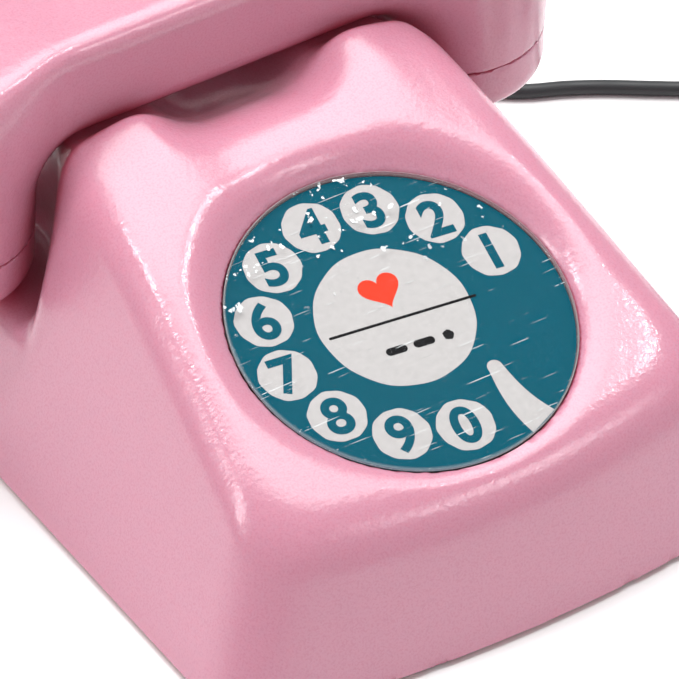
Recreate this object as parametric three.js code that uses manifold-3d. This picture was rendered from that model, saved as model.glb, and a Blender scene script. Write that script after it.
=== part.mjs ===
// A compact table telephone: a wedge-shaped moulded housing with a printed dial under a clear lens,
// a handset across the cradle, a hook switch, a two-gong ringer, a small network and a line cord.
// Millimetres. +X is to the right seen from the front, +Y to the back, +Z up. The origin is on the
// table, under the middle of the telephone.
import * as THREE from "three";
import { mergeVertices } from "three/addons/utils/BufferGeometryUtils.js";
import Module from "manifold-3d";

const wasm = await Module();
wasm.setup();

// ---- driving dimensions ----
const GAP = 0.3; // between pieces that touch
const WALL = 2.5; // the moulded shells
const RAD = Math.PI / 180;
const SIDES = { large: 48, middle: 28, small: 12, hole: 6 }; // of round pieces

const base = { halfWidth: 71.4, depth: 162, bottom: 0.8, sideDraft: 21, frontDraft: 14.5 };
Object.assign(base, { rearDraft: 3, cornerRadius: 11, bow: 8 });
const dial = { radius: 38, y: -28, z: 48.6, slope: 17.5, clearance: 0.6, flare: 1.4 };
const face = { slope: 20.5, rise: 1.6 };
const hornTop = 74;

const handle = { bottom: 65.5, height: 25, width: 27, y: 54, round: 7.5 };
const cup = { x: 65.2, topRadius: 22.5, bottomRadius: 21, bottom: 34.5, domeRadius: 13 };
const capHeight = 12;
const cradle = { clearance: 0.9, flare: 3.2 };
const scoop = { clearance: 5, under: 3 };
const valley = { topHalf: 22, floorHalf: 14, floor: 57, frontY: 17, frontZ: 69 };

const liftTravel = 60; // how far the handset is lifted clear
const plunger = { x: 28, radius: 3.2, collar: 5.2, travel: 5, tip: 1.2, bottom: 38 };
const bracket = { halfWidth: 34, shelf: 45.5, sheet: 1.5, frontY: 30, rearY: 62, foot: 10 };
const lever = { pivotY: 34, pivotZ: 37, thickness: 1.2, tail: 8, pin: 1.5 };

const plate = { bottom: 2, thickness: 2 };
const foot = { radius: 6, x: 52, y: 60 };
const screw = { shank: 1.4, head: 3, headHeight: 1.1, length: 12, x: 50, y: 47 };
const boss = { radius: 4, hole: 1.8 };

const gong = { radius: 16.5, x: 28, y: -34, bottom: 15, height: 9, sheet: 1.2, post: 3.2 };
const clapper = { pivotY: 2, pivotZ: 19.5, ball: 3, arm: 1.1, stroke: 0.5 };
const coil = { radius: 8.5, length: 26, y: 16, core: 2.6 };

const board = { halfWidth: 30, y: 57, halfDepth: 13, bottom: 9, thickness: 1.6, post: 2.5 };

const cord = { diameter: 3.4, sides: 8, exitX: 30, exitZ: 11, reliefLength: 22 };
Object.assign(cord, { reliefRoot: 4, reliefTip: 2.4, flange: 5.6 });
const cordCoil = { x: 155, y: 0, across: 38, turnsOut: 3, turnsUp: 5, entry: 55 };
const plug = { length: 24, width: 14, height: 11, x: 126, y: -27, neck: 8 };
const plugPin = { radius: 0.9, length: 9, dx: 3.5, dz: 2, root: 6 };

// ---- materials ----
const finish = (color, roughness, metalness = 0) =>
  new THREE.MeshStandardMaterial({ color, roughness, metalness });
const pink = finish("#edb6ca", 0.18);
const teal = finish("#167080", 0.45);
const clear = finish("#dfeaea", 0.08);
const black = finish("#2b2c2e", 0.5);
const rubber = finish("#26262a", 0.8);
const steel = finish("#9a9da0", 0.35, 1);
const brass = finish("#b89a4e", 0.35, 1);
const phenolic = finish("#5a3a22", 0.6);
const copper = finish("#9a4f2c", 0.45, 0.6);

// ---- building helpers ----
const group = new THREE.Group();

function solid(geometry) {
  const bare = geometry.clone();
  bare.deleteAttribute("normal");
  bare.deleteAttribute("uv");
  const merged = mergeVertices(bare, 1e-4);
  return new wasm.Manifold(
    new wasm.Mesh({
      numProp: 3,
      vertProperties: new Float32Array(merged.attributes.position.array),
      triVerts: new Uint32Array(merged.index.array),
    }),
  );
}

function geometryOf(manifold) {
  const made = manifold.getMesh();
  const geometry = new THREE.BufferGeometry();
  geometry.setAttribute("position", new THREE.BufferAttribute(made.vertProperties, 3));
  geometry.setIndex(new THREE.BufferAttribute(made.triVerts, 1));
  geometry.computeVertexNormals();
  return geometry;
}

function piece(name, shape, material, parent = group) {
  const geometry = shape.isBufferGeometry ? shape : geometryOf(shape);
  const mesh = new THREE.Mesh(geometry, material);
  mesh.name = name;
  parent.add(mesh);
  return mesh;
}

const join = (...solids) => solids.reduce((a, b) => a.add(b));
const cut = (from, ...solids) => solids.reduce((a, b) => a.subtract(b), from);

// A prism with its outline in Y and Z, from x0 to x1.
function prismX(points, x0, x1) {
  const shape = new THREE.Shape(points.map(([y, z]) => new THREE.Vector2(y, z)));
  const geometry = new THREE.ExtrudeGeometry(shape, { depth: x1 - x0, bevelEnabled: false });
  const turn = new THREE.Matrix4().makeBasis(
    new THREE.Vector3(0, 1, 0),
    new THREE.Vector3(0, 0, 1),
    new THREE.Vector3(1, 0, 0),
  );
  return solid(geometry.applyMatrix4(turn).translate(x0, 0, 0));
}

// A prism with its outline in X and Z, from y0 to y1.
function prismY(points, y0, y1) {
  const shape = new THREE.Shape(points.map(([x, z]) => new THREE.Vector2(x, z)));
  const geometry = new THREE.ExtrudeGeometry(shape, { depth: y1 - y0, bevelEnabled: false });
  return solid(geometry.rotateX(Math.PI / 2).translate(0, y1, 0));
}

// A solid of revolution about Z from its outline in radius and height, going up on the outside.
function turned(points, segments = SIDES.middle, x = 0, y = 0) {
  const profile = points.map(([r, z]) => new THREE.Vector2(r, z));
  const geometry = new THREE.LatheGeometry(profile, segments);
  return solid(geometry.rotateX(Math.PI / 2).translate(x, y, 0));
}

const rod = (radius, z0, z1, x = 0, y = 0, segments = SIDES.small) =>
  turned([[0, z0], [radius, z0], [radius, z1], [0, z1]], segments, x, y);

function rodX(radius, x0, x1, y, z, segments = SIDES.small) {
  const geometry = new THREE.CylinderGeometry(radius, radius, x1 - x0, segments);
  return solid(geometry.rotateZ(Math.PI / 2).translate((x0 + x1) / 2, y, z));
}

function block(x0, x1, y0, y1, z0, z1) {
  const geometry = new THREE.BoxGeometry(x1 - x0, y1 - y0, z1 - z0);
  return solid(geometry.translate((x0 + x1) / 2, (y0 + y1) / 2, (z0 + z1) / 2));
}

// A rounded outline: corners is a list of [a, b, radius] going anticlockwise round a rectangle.
function rounded(corners, steps = 5) {
  const points = [];
  corners.forEach(([a, b, radius], i) => {
    const start = (i - 1) * 90 * RAD;
    for (let k = 0; k <= steps; k += 1) {
      const angle = start + (k / steps) * 90 * RAD;
      points.push([a + radius * Math.cos(angle), b + radius * Math.sin(angle)]);
    }
  });
  return points;
}

// ---- the housing ----
// The outline of the body at a height, moved inwards by an inset.
function bodyOutline(z, inset) {
  const halfWidth = base.halfWidth - z * Math.tan(base.sideDraft * RAD) - inset;
  const front = -base.depth / 2 + z * Math.tan(base.frontDraft * RAD) + inset;
  const rear = base.depth / 2 - z * Math.tan(base.rearDraft * RAD) - inset;
  const radius = base.cornerRadius - inset / 2;
  const reach = halfWidth - radius;
  const bowAt = (x) => front + base.bow * (x / halfWidth) ** 2;
  const side = bowAt(reach) + radius;
  const points = [];
  const steps = 10;
  for (let i = 1; i < steps; i += 1) {
    const x = -reach + (2 * reach * i) / steps;
    points.push([x, bowAt(x)]);
  }
  const corners = [[reach, side], [reach, rear - radius], [-reach, rear - radius], [-reach, side]];
  return points.concat(rounded(corners.map(([a, b]) => [a, b, radius])));
}

// The solid between two outlines of the body.
function bodyBlock(z0, z1, inset) {
  const rings = [z0, z1].map((z) => bodyOutline(z, inset).map(([x, y]) => [x, y, z]));
  const count = rings[0].length;
  const vertices = rings.flat(2);
  vertices.push(0, 0, z0, 0, 0, z1);
  const faces = [];
  for (let i = 0; i < count; i += 1) {
    const next = (i + 1) % count;
    faces.push(i, next, count + next, i, count + next, count + i);
    faces.push(next, i, 2 * count, count + i, count + next, 2 * count + 1);
  }
  const geometry = new THREE.BufferGeometry();
  geometry.setAttribute("position", new THREE.Float32BufferAttribute(vertices, 3));
  geometry.setIndex(faces);
  return solid(geometry);
}

const faceHeight = (y) => dial.z + face.rise + (y - dial.y) * Math.tan(face.slope * RAD);
const hornY = dial.y + (hornTop - dial.z - face.rise) / Math.tan(face.slope * RAD);
const top = hornTop + 30;

// Everything under the sloping face and the horns' tops.
function underFace(margin) {
  const drop = margin / Math.cos(face.slope * RAD);
  const end = base.depth;
  return prismX(
    [[-end, -end], [end, -end], [end, hornTop - margin], [hornY, hornTop - margin],
      [-end, faceHeight(-end) - drop]],
    -base.depth, base.depth,
  );
}

const placeOnDial = (shape) => shape.rotate([dial.slope, 0, 0]).translate([0, dial.y, dial.z]);
const dish = { floor: -4.6, flareFrom: -1 };
const dishRadius = dial.radius + dial.clearance;

// The round hollow that the dial sits in: a seat with an upright wall that flares open above.
function dishCut(margin) {
  const height = 14;
  const edge = dishRadius + margin;
  return placeOnDial(
    turned(
      [[0, dish.floor - margin], [edge, dish.floor - margin], [edge, dish.flareFrom],
        [edge + dial.flare * (height - dish.flareFrom), height], [0, height]],
      SIDES.large,
    ),
  );
}

const land = handle.bottom - GAP;
const troughFront = handle.y - handle.width / 2 - cradle.clearance;
const troughRear = handle.y + handle.width / 2 + cradle.clearance;

// The channel across the top that the handle lies in.
function troughCut(margin) {
  return prismX(
    [[troughFront - margin, land - margin], [troughRear + margin, land - margin],
      [troughRear + cradle.flare / 2 + margin, hornTop], [troughRear + cradle.flare / 2 + margin, top],
      [troughFront - cradle.flare - margin, top], [troughFront - cradle.flare - margin, hornTop]],
    -base.halfWidth, base.halfWidth,
  );
}

// The deeper hollow between the horns, where fingers reach under the handle.
function valleyCut(margin) {
  const along = prismX(
    [[valley.frontY - margin, valley.frontZ - margin], [troughFront + 4, valley.floor - margin],
      [troughRear - 4 + margin, valley.floor - margin], [troughRear + margin, top],
      [valley.frontY - margin, top]],
    -base.halfWidth, base.halfWidth,
  );
  const widen = (top - valley.floor) * ((valley.topHalf - valley.floorHalf) / (hornTop - valley.floor));
  const low = valley.floorHalf + margin;
  const across = prismY(
    [[-low, valley.floor - margin - 1], [low, valley.floor - margin - 1],
      [low + widen, top], [-low - widen, top]],
    0, base.depth,
  );
  return along.intersect(across);
}

// The upright half-round hollow in each side wall that clears a cup of the handset.
function scoopCut(side, margin) {
  const radius = cup.bottomRadius + scoop.clearance + margin;
  return rod(radius, cup.bottom - scoop.under - margin, top, side * cup.x, handle.y, SIDES.large);
}

const features = (margin) => [
  dishCut(margin), troughCut(margin), valleyCut(margin), scoopCut(-1, margin), scoopCut(1, margin),
];

const corners = [[-1, -1], [1, -1], [1, 1], [-1, 1]];
const screwPlaces = corners.map(([sx, sy]) => [sx * screw.x, sy * screw.y]);
const plateTop = plate.bottom + plate.thickness;

function housing() {
  const outside = cut(
    bodyBlock(base.bottom, top, 0).intersect(underFace(0)),
    ...features(0),
  );
  const inside = cut(
    bodyBlock(base.bottom - 1, top, WALL).intersect(underFace(WALL)),
    ...features(WALL),
  );
  let shell = outside.subtract(inside);
  for (const [x, y] of screwPlaces) {
    const post = rod(boss.radius, plateTop + GAP, top, x, y).intersect(outside);
    const hole = rod(boss.hole, 0, plateTop + screw.length + 1, x, y);
    shell = shell.add(post).subtract(hole);
  }
  for (const side of [-1, 1]) {
    shell = shell.subtract(rod(plunger.radius + GAP, land - 10, top, side * plunger.x, handle.y));
  }
  const stem = placeOnDial(rod(carrier.stem + GAP, dish.floor - 10, dish.floor + 2));
  shell = shell.subtract(stem).subtract(cordHole(reliefNeck + GAP, cord.exitX));
  return shell.subtract(cordHole(reliefNeck + GAP, -cord.exitX));
}

// ---- the dial ----
const carrier = { stem: 5, thickness: 2 };
const lensThickness = 1.4;
const cardThickness = 0.3;

function buildDial() {
  const holder = new THREE.Group();
  holder.rotation.x = dial.slope * RAD;
  holder.position.set(0, dial.y, dial.z);
  group.add(holder);
  const bevel = 0.8;
  const r = dial.radius;
  const lensBottom = -lensThickness;
  piece("dial_lens", turned([[0, lensBottom], [r, lensBottom], [r, -bevel / 2],
    [r - 2 * bevel, 0], [0, 0]], SIDES.large), clear, holder);
  const cardTop = lensBottom - GAP;
  piece("dial_card", rod(r - 0.4, cardTop - cardThickness, cardTop, 0, 0, SIDES.large), teal, holder);
  const carrierTop = cardTop - cardThickness - GAP;
  const carrierBottom = dish.floor + GAP;
  const stemEnd = dish.floor - WALL - 6;
  piece("dial_carrier", turned([[0, stemEnd], [carrier.stem, stemEnd],
    [carrier.stem, carrierBottom], [r - 0.4, carrierBottom], [r - 0.4, carrierTop],
    [0, carrierTop]], SIDES.large), black, holder);
  const nutTop = dish.floor - WALL - GAP;
  const nut = cut(rod(9, nutTop - 4, nutTop, 0, 0, 6), rod(carrier.stem + GAP, -20, 0));
  piece("dial_nut", nut, steel, holder);
}

// ---- the hook switch ----
const shelfTop = bracket.shelf + bracket.sheet;
const tailY = lever.pivotY - lever.tail;
const contactBlock = { front: tailY - 18, rear: tailY - 10 };
const collarBottom = land - WALL - plunger.travel - 3;

function buildHookSwitch() {
  for (const [side, word] of [[-1, "left"], [1, "right"]]) {
    const x = side * plunger.x;
    const stem = turned([[0, plunger.bottom], [plunger.tip, plunger.bottom],
      [plunger.radius - 0.6, plunger.bottom + 2.5], [plunger.radius - 0.6, collarBottom],
      [plunger.collar, collarBottom], [plunger.collar, collarBottom + 2],
      [plunger.radius, collarBottom + 2], [plunger.radius, land - 0.8],
      [plunger.radius - 0.8, land], [0, land]], SIDES.small, x, handle.y);
    piece(`hook_plunger_${word}`, stem, black);
    piece(`plunger_spring_${word}`, coilSpring(plunger.radius + 0.9, x), steel);
  }
  piece("hook_bracket", hookBracket(), steel);
  piece("hook_lever", hookLever(), steel);
  const reach = bracket.halfWidth + 1;
  piece("lever_pin", rodX(lever.pin, -reach, reach, lever.pivotY, lever.pivotZ), steel);
  buildContacts();
}

// A plunger's return spring, pressed short between the shelf and the plunger's collar.
function coilSpring(radius, x) {
  const wire = 0.4;
  const low = shelfTop + GAP + wire;
  const high = collarBottom - GAP - wire;
  const turns = 3.5;
  const steps = 28;
  const points = [];
  for (let i = 0; i <= steps; i += 1) {
    const angle = (i / steps) * turns * 2 * Math.PI;
    const z = low + ((high - low) * i) / steps;
    points.push(new THREE.Vector3(x + radius * Math.cos(angle), handle.y + radius * Math.sin(angle), z));
  }
  return tube(new THREE.CatmullRomCurve3(points), wire, steps, 4);
}

// A round tube along a curve.
function tube(curve, radius, steps, sides) {
  const section = new THREE.Shape();
  for (let i = 0; i < sides; i += 1) {
    const angle = (i / sides) * 2 * Math.PI;
    const at = [radius * Math.cos(angle), radius * Math.sin(angle)];
    if (i === 0) section.moveTo(...at);
    else section.lineTo(...at);
  }
  section.closePath();
  return solid(new THREE.ExtrudeGeometry(section, { steps, bevelEnabled: false, extrudePath: curve }));
}

// A folded bracket on two legs: it holds the lever's pin and guides the plungers.
function hookBracket() {
  const { halfWidth, sheet, frontY, rearY, shelf } = bracket;
  const low = plateTop + GAP;
  const legRear = frontY + bracket.foot;
  const cheek = [[frontY, low], [legRear, low], [legRear, lever.pivotZ], [legRear + 5, shelf],
    [rearY, shelf], [rearY, shelfTop], [frontY, shelfTop]];
  const tongue = block(-6, 6, contactBlock.front, legRear + 5, shelf, shelfTop);
  let made = block(-halfWidth, halfWidth, legRear + 4, rearY, shelf, shelfTop).add(tongue);
  for (const side of [-1, 1]) {
    const outer = side * halfWidth;
    const inner = side * (halfWidth - sheet);
    made = made.add(prismX(cheek, Math.min(outer, inner), Math.max(outer, inner)));
    const footEnd = outer - side * 8;
    made = made.add(block(Math.min(outer, footEnd), Math.max(outer, footEnd), frontY, legRear,
      low, low + sheet));
    made = made.subtract(rod(plunger.radius + GAP, shelf - 1, shelfTop + 1, side * plunger.x, handle.y));
  }
  const reach = halfWidth + 1;
  return made.subtract(rodX(lever.pin + GAP, -reach, reach, lever.pivotY, lever.pivotZ));
}

// The rocking lever: a barrel on the pin, an arm under each plunger and a tail at the contacts.
function hookLever() {
  const half = bracket.halfWidth - bracket.sheet - 1;
  const bore = lever.pin + GAP;
  const barrel = bore + lever.thickness;
  const { pivotY, pivotZ } = lever;
  const topZ = plunger.bottom - GAP;
  const lowZ = topZ - lever.thickness;
  let made = rodX(barrel, -half, half, pivotY, pivotZ);
  for (const side of [-1, 1]) {
    const x = side * plunger.x;
    made = made.add(block(x - 3, x + 3, pivotY, handle.y + plunger.tip + 1.5, lowZ, topZ));
  }
  made = made.add(block(-5, 5, pivotY - lever.tail, pivotY, lowZ, topZ));
  return made.subtract(rodX(bore, -half - 1, half + 1, pivotY, pivotZ));
}

// Two leaf springs in an insulating block under the bracket's tongue, above the lever's tail.
function buildContacts() {
  const leaf = { half: 3, thickness: 0.5, gap: 1.6 };
  const { front, rear } = contactBlock;
  const lower = plunger.bottom;
  const upper = lower + leaf.thickness + leaf.gap;
  const slot = (z) => block(-leaf.half - GAP, leaf.half + GAP, front + 2, rear + 1,
    z - GAP, z + leaf.thickness + GAP);
  const body = block(-6, 6, front, rear, lower - 2, bracket.shelf - GAP);
  piece("contact_block", cut(body, slot(lower), slot(upper)), phenolic);
  const strip = (z) => block(-leaf.half, leaf.half, front + 2 + GAP, tailY + 3,
    z, z + leaf.thickness);
  piece("contact_spring_moving", strip(lower), brass);
  piece("contact_spring_fixed", strip(upper), brass);
}

// ---- the base ----
function buildBase() {
  const low = plate.bottom;
  let bottom = bodyBlock(low, plateTop, WALL + GAP);
  for (const [x, y] of screwPlaces) {
    bottom = bottom.subtract(rod(screw.shank + GAP, low - 1, plateTop + 1, x, y));
  }
  piece("base_plate", bottom, black);
  const words = ["front_left", "front_right", "rear_right", "rear_left"];
  corners.forEach(([sx, sy], i) => {
    const pad = turned([[0, 0], [foot.radius, 0], [foot.radius + 0.6, low - GAP], [0, low - GAP]],
      SIDES.small, sx * foot.x, sy * foot.y);
    piece(`foot_${words[i]}`, pad, rubber);
    const headTop = low - GAP;
    const bolt = turned([[0, headTop - screw.headHeight], [screw.head, headTop - screw.headHeight],
      [screw.head, headTop], [screw.shank, headTop], [screw.shank, plateTop + screw.length],
      [0, plateTop + screw.length]], SIDES.small, ...screwPlaces[i]);
    piece(`base_screw_${words[i]}`, bolt, steel);
  });
}

// ---- the ringer ----
function buildRinger() {
  const { radius, height, bottom, sheet } = gong;
  for (const [side, word] of [[-1, "left"], [1, "right"]]) {
    const crown = bottom + height;
    const hole = screw.shank + GAP;
    const bell = turned([[hole, crown - sheet], [radius * 0.6, crown - sheet],
      [radius * 0.9 - sheet, bottom + height * 0.5], [radius - sheet, bottom], [radius, bottom],
      [radius * 0.9, bottom + height * 0.5], [radius * 0.6, crown], [hole, crown],
      [hole, crown - sheet]], SIDES.middle, side * gong.x, gong.y);
    piece(`gong_${word}`, bell, brass);
    const seat = crown - sheet - GAP;
    const post = turned([[0, plateTop + GAP], [gong.post, plateTop + GAP], [gong.post, seat],
      [screw.shank, seat], [screw.shank, crown + GAP], [screw.head, crown + GAP],
      [screw.head, crown + GAP + screw.headHeight], [0, crown + GAP + screw.headHeight]],
      SIDES.small, side * gong.x, gong.y);
    piece(`gong_post_${word}`, post, steel);
  }
  buildStriker();
}

function buildStriker() {
  const { pivotY, pivotZ, ball, arm } = clapper;
  const z = pivotZ;
  const coilRadius = coil.radius;
  const pin = rod(1, z - 4, z + 4, 0, pivotY);
  const half = coil.length / 2;
  const frameBottom = plateTop + GAP;
  const sheet = 1.5;
  const frameTop = z + 5;
  const floor = block(-half - 3, half + 3, pivotY - 4, coil.y + coilRadius + 2, frameBottom,
    frameBottom + sheet);
  const cheeks = [-1, 1].map((side) => {
    const x = side * (half + 2);
    return block(x - sheet / 2, x + sheet / 2, coil.y - 5, coil.y + 5, frameBottom, z + coil.core + 4);
  });
  const tower = block(-3, 3, pivotY - 3, pivotY + 3, frameBottom, z - 3);
  const ears = [block(-3, 3, pivotY - 3, coil.y - coilRadius - GAP, z + 3, frameTop),
    block(-3, 3, pivotY - 3, coil.y - coilRadius - GAP, z - 4.5, z - 3)];
  const link = block(-3, 3, coil.y - coilRadius - 1.3, coil.y - coilRadius - GAP, frameBottom, frameTop);
  const holes = [rod(1 + GAP, z - 8, z + 8, 0, pivotY),
    rodX(coil.core + GAP, -half - 6, half + 6, coil.y, z)];
  piece("ringer_frame", cut(join(floor, ...cheeks, tower, ...ears, link), ...holes), steel);
  const winding = cut(rodX(coilRadius, -half, half, coil.y, z, SIDES.middle),
    rodX(coil.core + GAP, -half - 1, half + 1, coil.y, z));
  piece("ringer_coil", winding, copper);
  piece("ringer_core", rodX(coil.core, -half - 4, half + 4, coil.y, z), steel);
  const reach = gong.y + 2;
  const rodPart = block(-arm / 2, arm / 2, reach, pivotY, z - arm, z + arm);
  const knob = solid(new THREE.SphereGeometry(ball, SIDES.small, 8).translate(0, reach, z));
  const armature = block(-8, 8, pivotY - 1.2, pivotY + 1.2, z - 2.4, z + 2.4);
  piece("ringer_clapper", join(rodPart, knob, armature, pin), steel);
}

// ---- the network ----
function buildNetwork() {
  const { halfWidth, y, halfDepth, bottom, thickness, post } = board;
  const topZ = bottom + thickness;
  let card = block(-halfWidth, halfWidth, y - halfDepth, y + halfDepth, bottom, topZ);
  for (const side of [-1, 1]) {
    card = card.add(rod(post, plateTop + GAP, bottom + 0.5, side * (halfWidth - 5), y));
  }
  const places = [-22, -14, -6, 2].map((x) => [x, y + halfDepth - 4]);
  for (const [x, at] of places) card = card.subtract(rod(1.2, bottom - 1, topZ + 1, x, at, SIDES.hole));
  piece("network_board", card, phenolic);
  places.forEach(([x, at], i) => {
    const bolt = turned([[0, bottom - 1], [0.9, bottom - 1], [0.9, topZ + GAP], [2.2, topZ + GAP],
      [2.2, topZ + 1.8], [0, topZ + 1.8]], SIDES.small, x, at);
    piece(`terminal_screw_${i + 1}`, bolt, brass);
  });
  const low = topZ + GAP;
  const core = cut(block(4, 28, y - 11, y + 5, low, low + 17), block(8, 24, y - 12, y + 6, low + 4, low + 13));
  const winding = block(8.4, 23.6, y - 13, y + 7, low + 4.4, low + 12.6);
  piece("induction_coil_core", core, steel);
  piece("induction_coil_winding", winding, copper);
  piece("capacitor", rodX(6, -27, -2, y - 5, low + 6.2, SIDES.middle), steel);
}

// ---- the handset ----
const handleTop = handle.bottom + handle.height;
const capTop = cup.bottom + capHeight;

function handleSection(margin) {
  const half = handle.width / 2 - margin;
  const low = handle.bottom + margin;
  const high = handleTop - margin;
  const round = Math.max(handle.round - margin, 2);
  const lowRound = round * 0.6;
  return rounded([[handle.y + half - lowRound, low + lowRound, lowRound],
    [handle.y + half - round, high - round, round],
    [handle.y - half + round, high - round, round],
    [handle.y - half + lowRound, low + lowRound, lowRound]]);
}

// One end of the handset: a tapered cup with a domed top, without its cap.
function cupShell(side, inset, low) {
  const high = handleTop - inset;
  const shoulder = handleTop - cup.domeRadius * 0.6;
  const steps = 5;
  const points = [[0, low], [cup.bottomRadius - inset, low], [cup.topRadius - inset, shoulder]];
  const rise = high - shoulder;
  for (let i = 1; i <= steps; i += 1) {
    const angle = (i / steps) * 90 * RAD;
    const r = cup.topRadius - inset - cup.domeRadius * (1 - Math.cos(angle));
    points.push([r, shoulder + rise * Math.sin(angle)]);
  }
  points.push([0, high]);
  return turned(points, SIDES.large, side * cup.x, handle.y);
}

function handsetShell() {
  const bar = prismX(handleSection(0), -cup.x, cup.x);
  const low = capTop + GAP;
  const hollow = (side) => cupShell(side, WALL, low - 1);
  const channel = prismX(rounded([[handle.y + 3, handle.bottom + 8, 2], [handle.y + 3, handleTop - 8, 2],
    [handle.y - 3, handleTop - 8, 2], [handle.y - 3, handle.bottom + 8, 2]], 2), -cup.x, cup.x);
  const made = join(cupShell(-1, 0, low), bar, cupShell(1, 0, low));
  const inlet = inletHole(inletNeck + GAP);
  return cut(made, hollow(-1), hollow(1), channel, inlet);
}

// The cap that screws on below a capsule: a dish with sound holes and an upstanding rim.
function soundCap(side, holes) {
  const r = cup.bottomRadius;
  const x = side * cup.x;
  const inner = r - WALL;
  const low = cup.bottom;
  let made = turned([[0, low], [r - 3, low], [r - 1, low + 1], [r - 0.2, low + 4], [r - 0.2, capTop],
    [inner, capTop], [inner, low + 2], [0, low + 2]], SIDES.large, x, handle.y);
  for (let i = 0; i < holes; i += 1) {
    const angle = (i / holes) * 2 * Math.PI;
    made = made.subtract(rod(1.1, low - 1, low + 3, x + 7 * Math.cos(angle),
      handle.y + 7 * Math.sin(angle), SIDES.hole));
  }
  return made.subtract(rod(1.1, low - 1, low + 3, x, handle.y, SIDES.hole));
}

// The hole and the grommet for the handset's own cord, low on the left cup's back.
const inletNeck = 2.6;
const inletZ = 56;
function alongY(shape, x, y, z) {
  return shape.rotate([-90, 0, 0]).translate([x, y, z]);
}
const inletRoot = handle.y + cup.bottomRadius - WALL;
const inletHole = (radius) => alongY(rod(radius, -1, 12), -cup.x, inletRoot, inletZ);

// A grommet with a groove that a wall of this thickness sits in, with its inside face at 0.
function grommet(neck, flange, wall, x, y, z, length) {
  const bore = neck - 1.2;
  const outline = [[bore, -1.6], [flange, -1.6], [flange, -GAP], [neck, -GAP], [neck, wall + GAP],
    [flange, wall + GAP], [neck, wall + GAP + length], [bore, wall + GAP + length], [bore, -1.6]];
  return alongY(turned(outline, SIDES.small), x, y, z);
}

function buildHandset() {
  piece("handset_shell", handsetShell(), pink);
  const inner = cup.bottomRadius - WALL - GAP;
  for (const [side, word, holes] of [[-1, "transmitter", 6], [1, "receiver", 8]]) {
    piece(`${word}_cap`, soundCap(side, holes), pink);
    const low = cup.bottom + 2 + GAP;
    const high = low + 9;
    const capsule = turned([[0, low], [inner - 3, low], [inner, low + 3], [inner, high],
      [inner * 0.5, high], [inner * 0.5, high + 4], [0, high + 4]], SIDES.middle, side * cup.x, handle.y);
    piece(`${word}_capsule`, capsule, steel);
  }
  piece("handset_cord_inlet", grommet(inletNeck, 4, WALL + 1.4, -cup.x, inletRoot - 0.6, inletZ, 3), black);
}

// ---- the line cord ----
const reliefNeck = 3.4;
const rearFace = (z) => base.depth / 2 - z * Math.tan(base.rearDraft * RAD);
const cordHole = (radius, x) => alongY(rod(radius, -12, 12), x, rearFace(cord.exitZ), cord.exitZ);

// The moulded strain relief: a grooved neck held in the rear wall and a tapering tail.
function strainRelief(x, length) {
  const y = rearFace(cord.exitZ) - WALL;
  const wall = WALL + 0.4;
  const bore = cord.diameter / 2 + GAP;
  const outline = [[bore, -2], [cord.flange, -2], [cord.flange, -GAP], [reliefNeck, -GAP],
    [reliefNeck, wall + GAP], [cord.flange, wall + GAP], [cord.flange, wall + 1.6],
    [cord.reliefRoot, wall + 2], [cord.reliefTip, wall + length], [bore, wall + length], [bore, -2]];
  return alongY(turned(outline, SIDES.small), x, y, cord.exitZ);
}

const onTable = cord.diameter / 2 + 0.1;
const reliefEnd = rearFace(cord.exitZ) + 0.4 + cord.reliefLength;
const coilMean = cordCoil.across / 2;
const coilWidth = cord.diameter * cordCoil.turnsOut;
const coilInner = coilMean - coilWidth / 2;
const coilOuter = coilMean + coilWidth / 2;

const coilReach = coilOuter + cord.diameter / 2 + GAP; // the middle of a cord lying against the coil
const entry = cordCoil.entry * RAD;
const rearY = base.depth / 2;
const plugZ = plug.height / 2;

// The route on the table, from the strain relief round the corner of the body to the coil.
const leadRoute = [
  [cord.exitX, reliefEnd + GAP, cord.exitZ], [cord.exitX + 0.6, rearY + 29, 9.6],
  [cord.exitX + 4, rearY + 37, 5.6], [cord.exitX + 12, rearY + 43, 2.5],
  [53, rearY + 44, onTable], [63, rearY + 39, onTable], [71, rearY + 29, onTable],
  [77, rearY + 17, onTable], [82, rearY + 5, onTable], [88, rearY - 5, onTable],
  [96.5, 69.5, onTable], [104, 66, onTable],
  [111.5, 61.7, onTable], [119.5, 56.2, onTable], [128, 50.4, onTable], [139, 43, onTable],
  [150.4, 35.4, onTable], [160.3, 28.5, onTable],
  [cordCoil.x + coilReach * Math.cos(entry), cordCoil.y + coilReach * Math.sin(entry), onTable],
];
const tailRoute = [
  [cordCoil.x, cordCoil.y - coilReach, onTable], [149, -26.6, onTable], [143, plug.y, 2.4],
  [137, plug.y, 4.2], [131, plug.y, 5.3], [plug.x, plug.y, plugZ],
];

function route(points) {
  return new THREE.CatmullRomCurve3(points.map((p) => new THREE.Vector3(...p)), false, "centripetal");
}

function buildCord() {
  piece("cord_strain_relief", strainRelief(cord.exitX, cord.reliefLength), black);
  piece("handset_cord_grommet", strainRelief(-cord.exitX, 2.2), black);
  const radius = cord.diameter / 2;
  const lead = route(leadRoute);
  const steps = Math.round(lead.getLength() / (2.5 * cord.diameter));
  piece("line_cord_lead", tube(lead, radius, steps, cord.sides), black);
  const height = cord.diameter * cordCoil.turnsUp;
  piece("line_cord_coil", turned([[coilInner, 0.1], [coilOuter, 0.1], [coilOuter, 0.1 + height],
    [coilInner, 0.1 + height], [coilInner, 0.1]], SIDES.large, cordCoil.x, cordCoil.y), black);
  const tail = route(tailRoute);
  piece("line_cord_tail", tube(tail, radius, 10, cord.sides), black);
  buildPlug();
}

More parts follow.
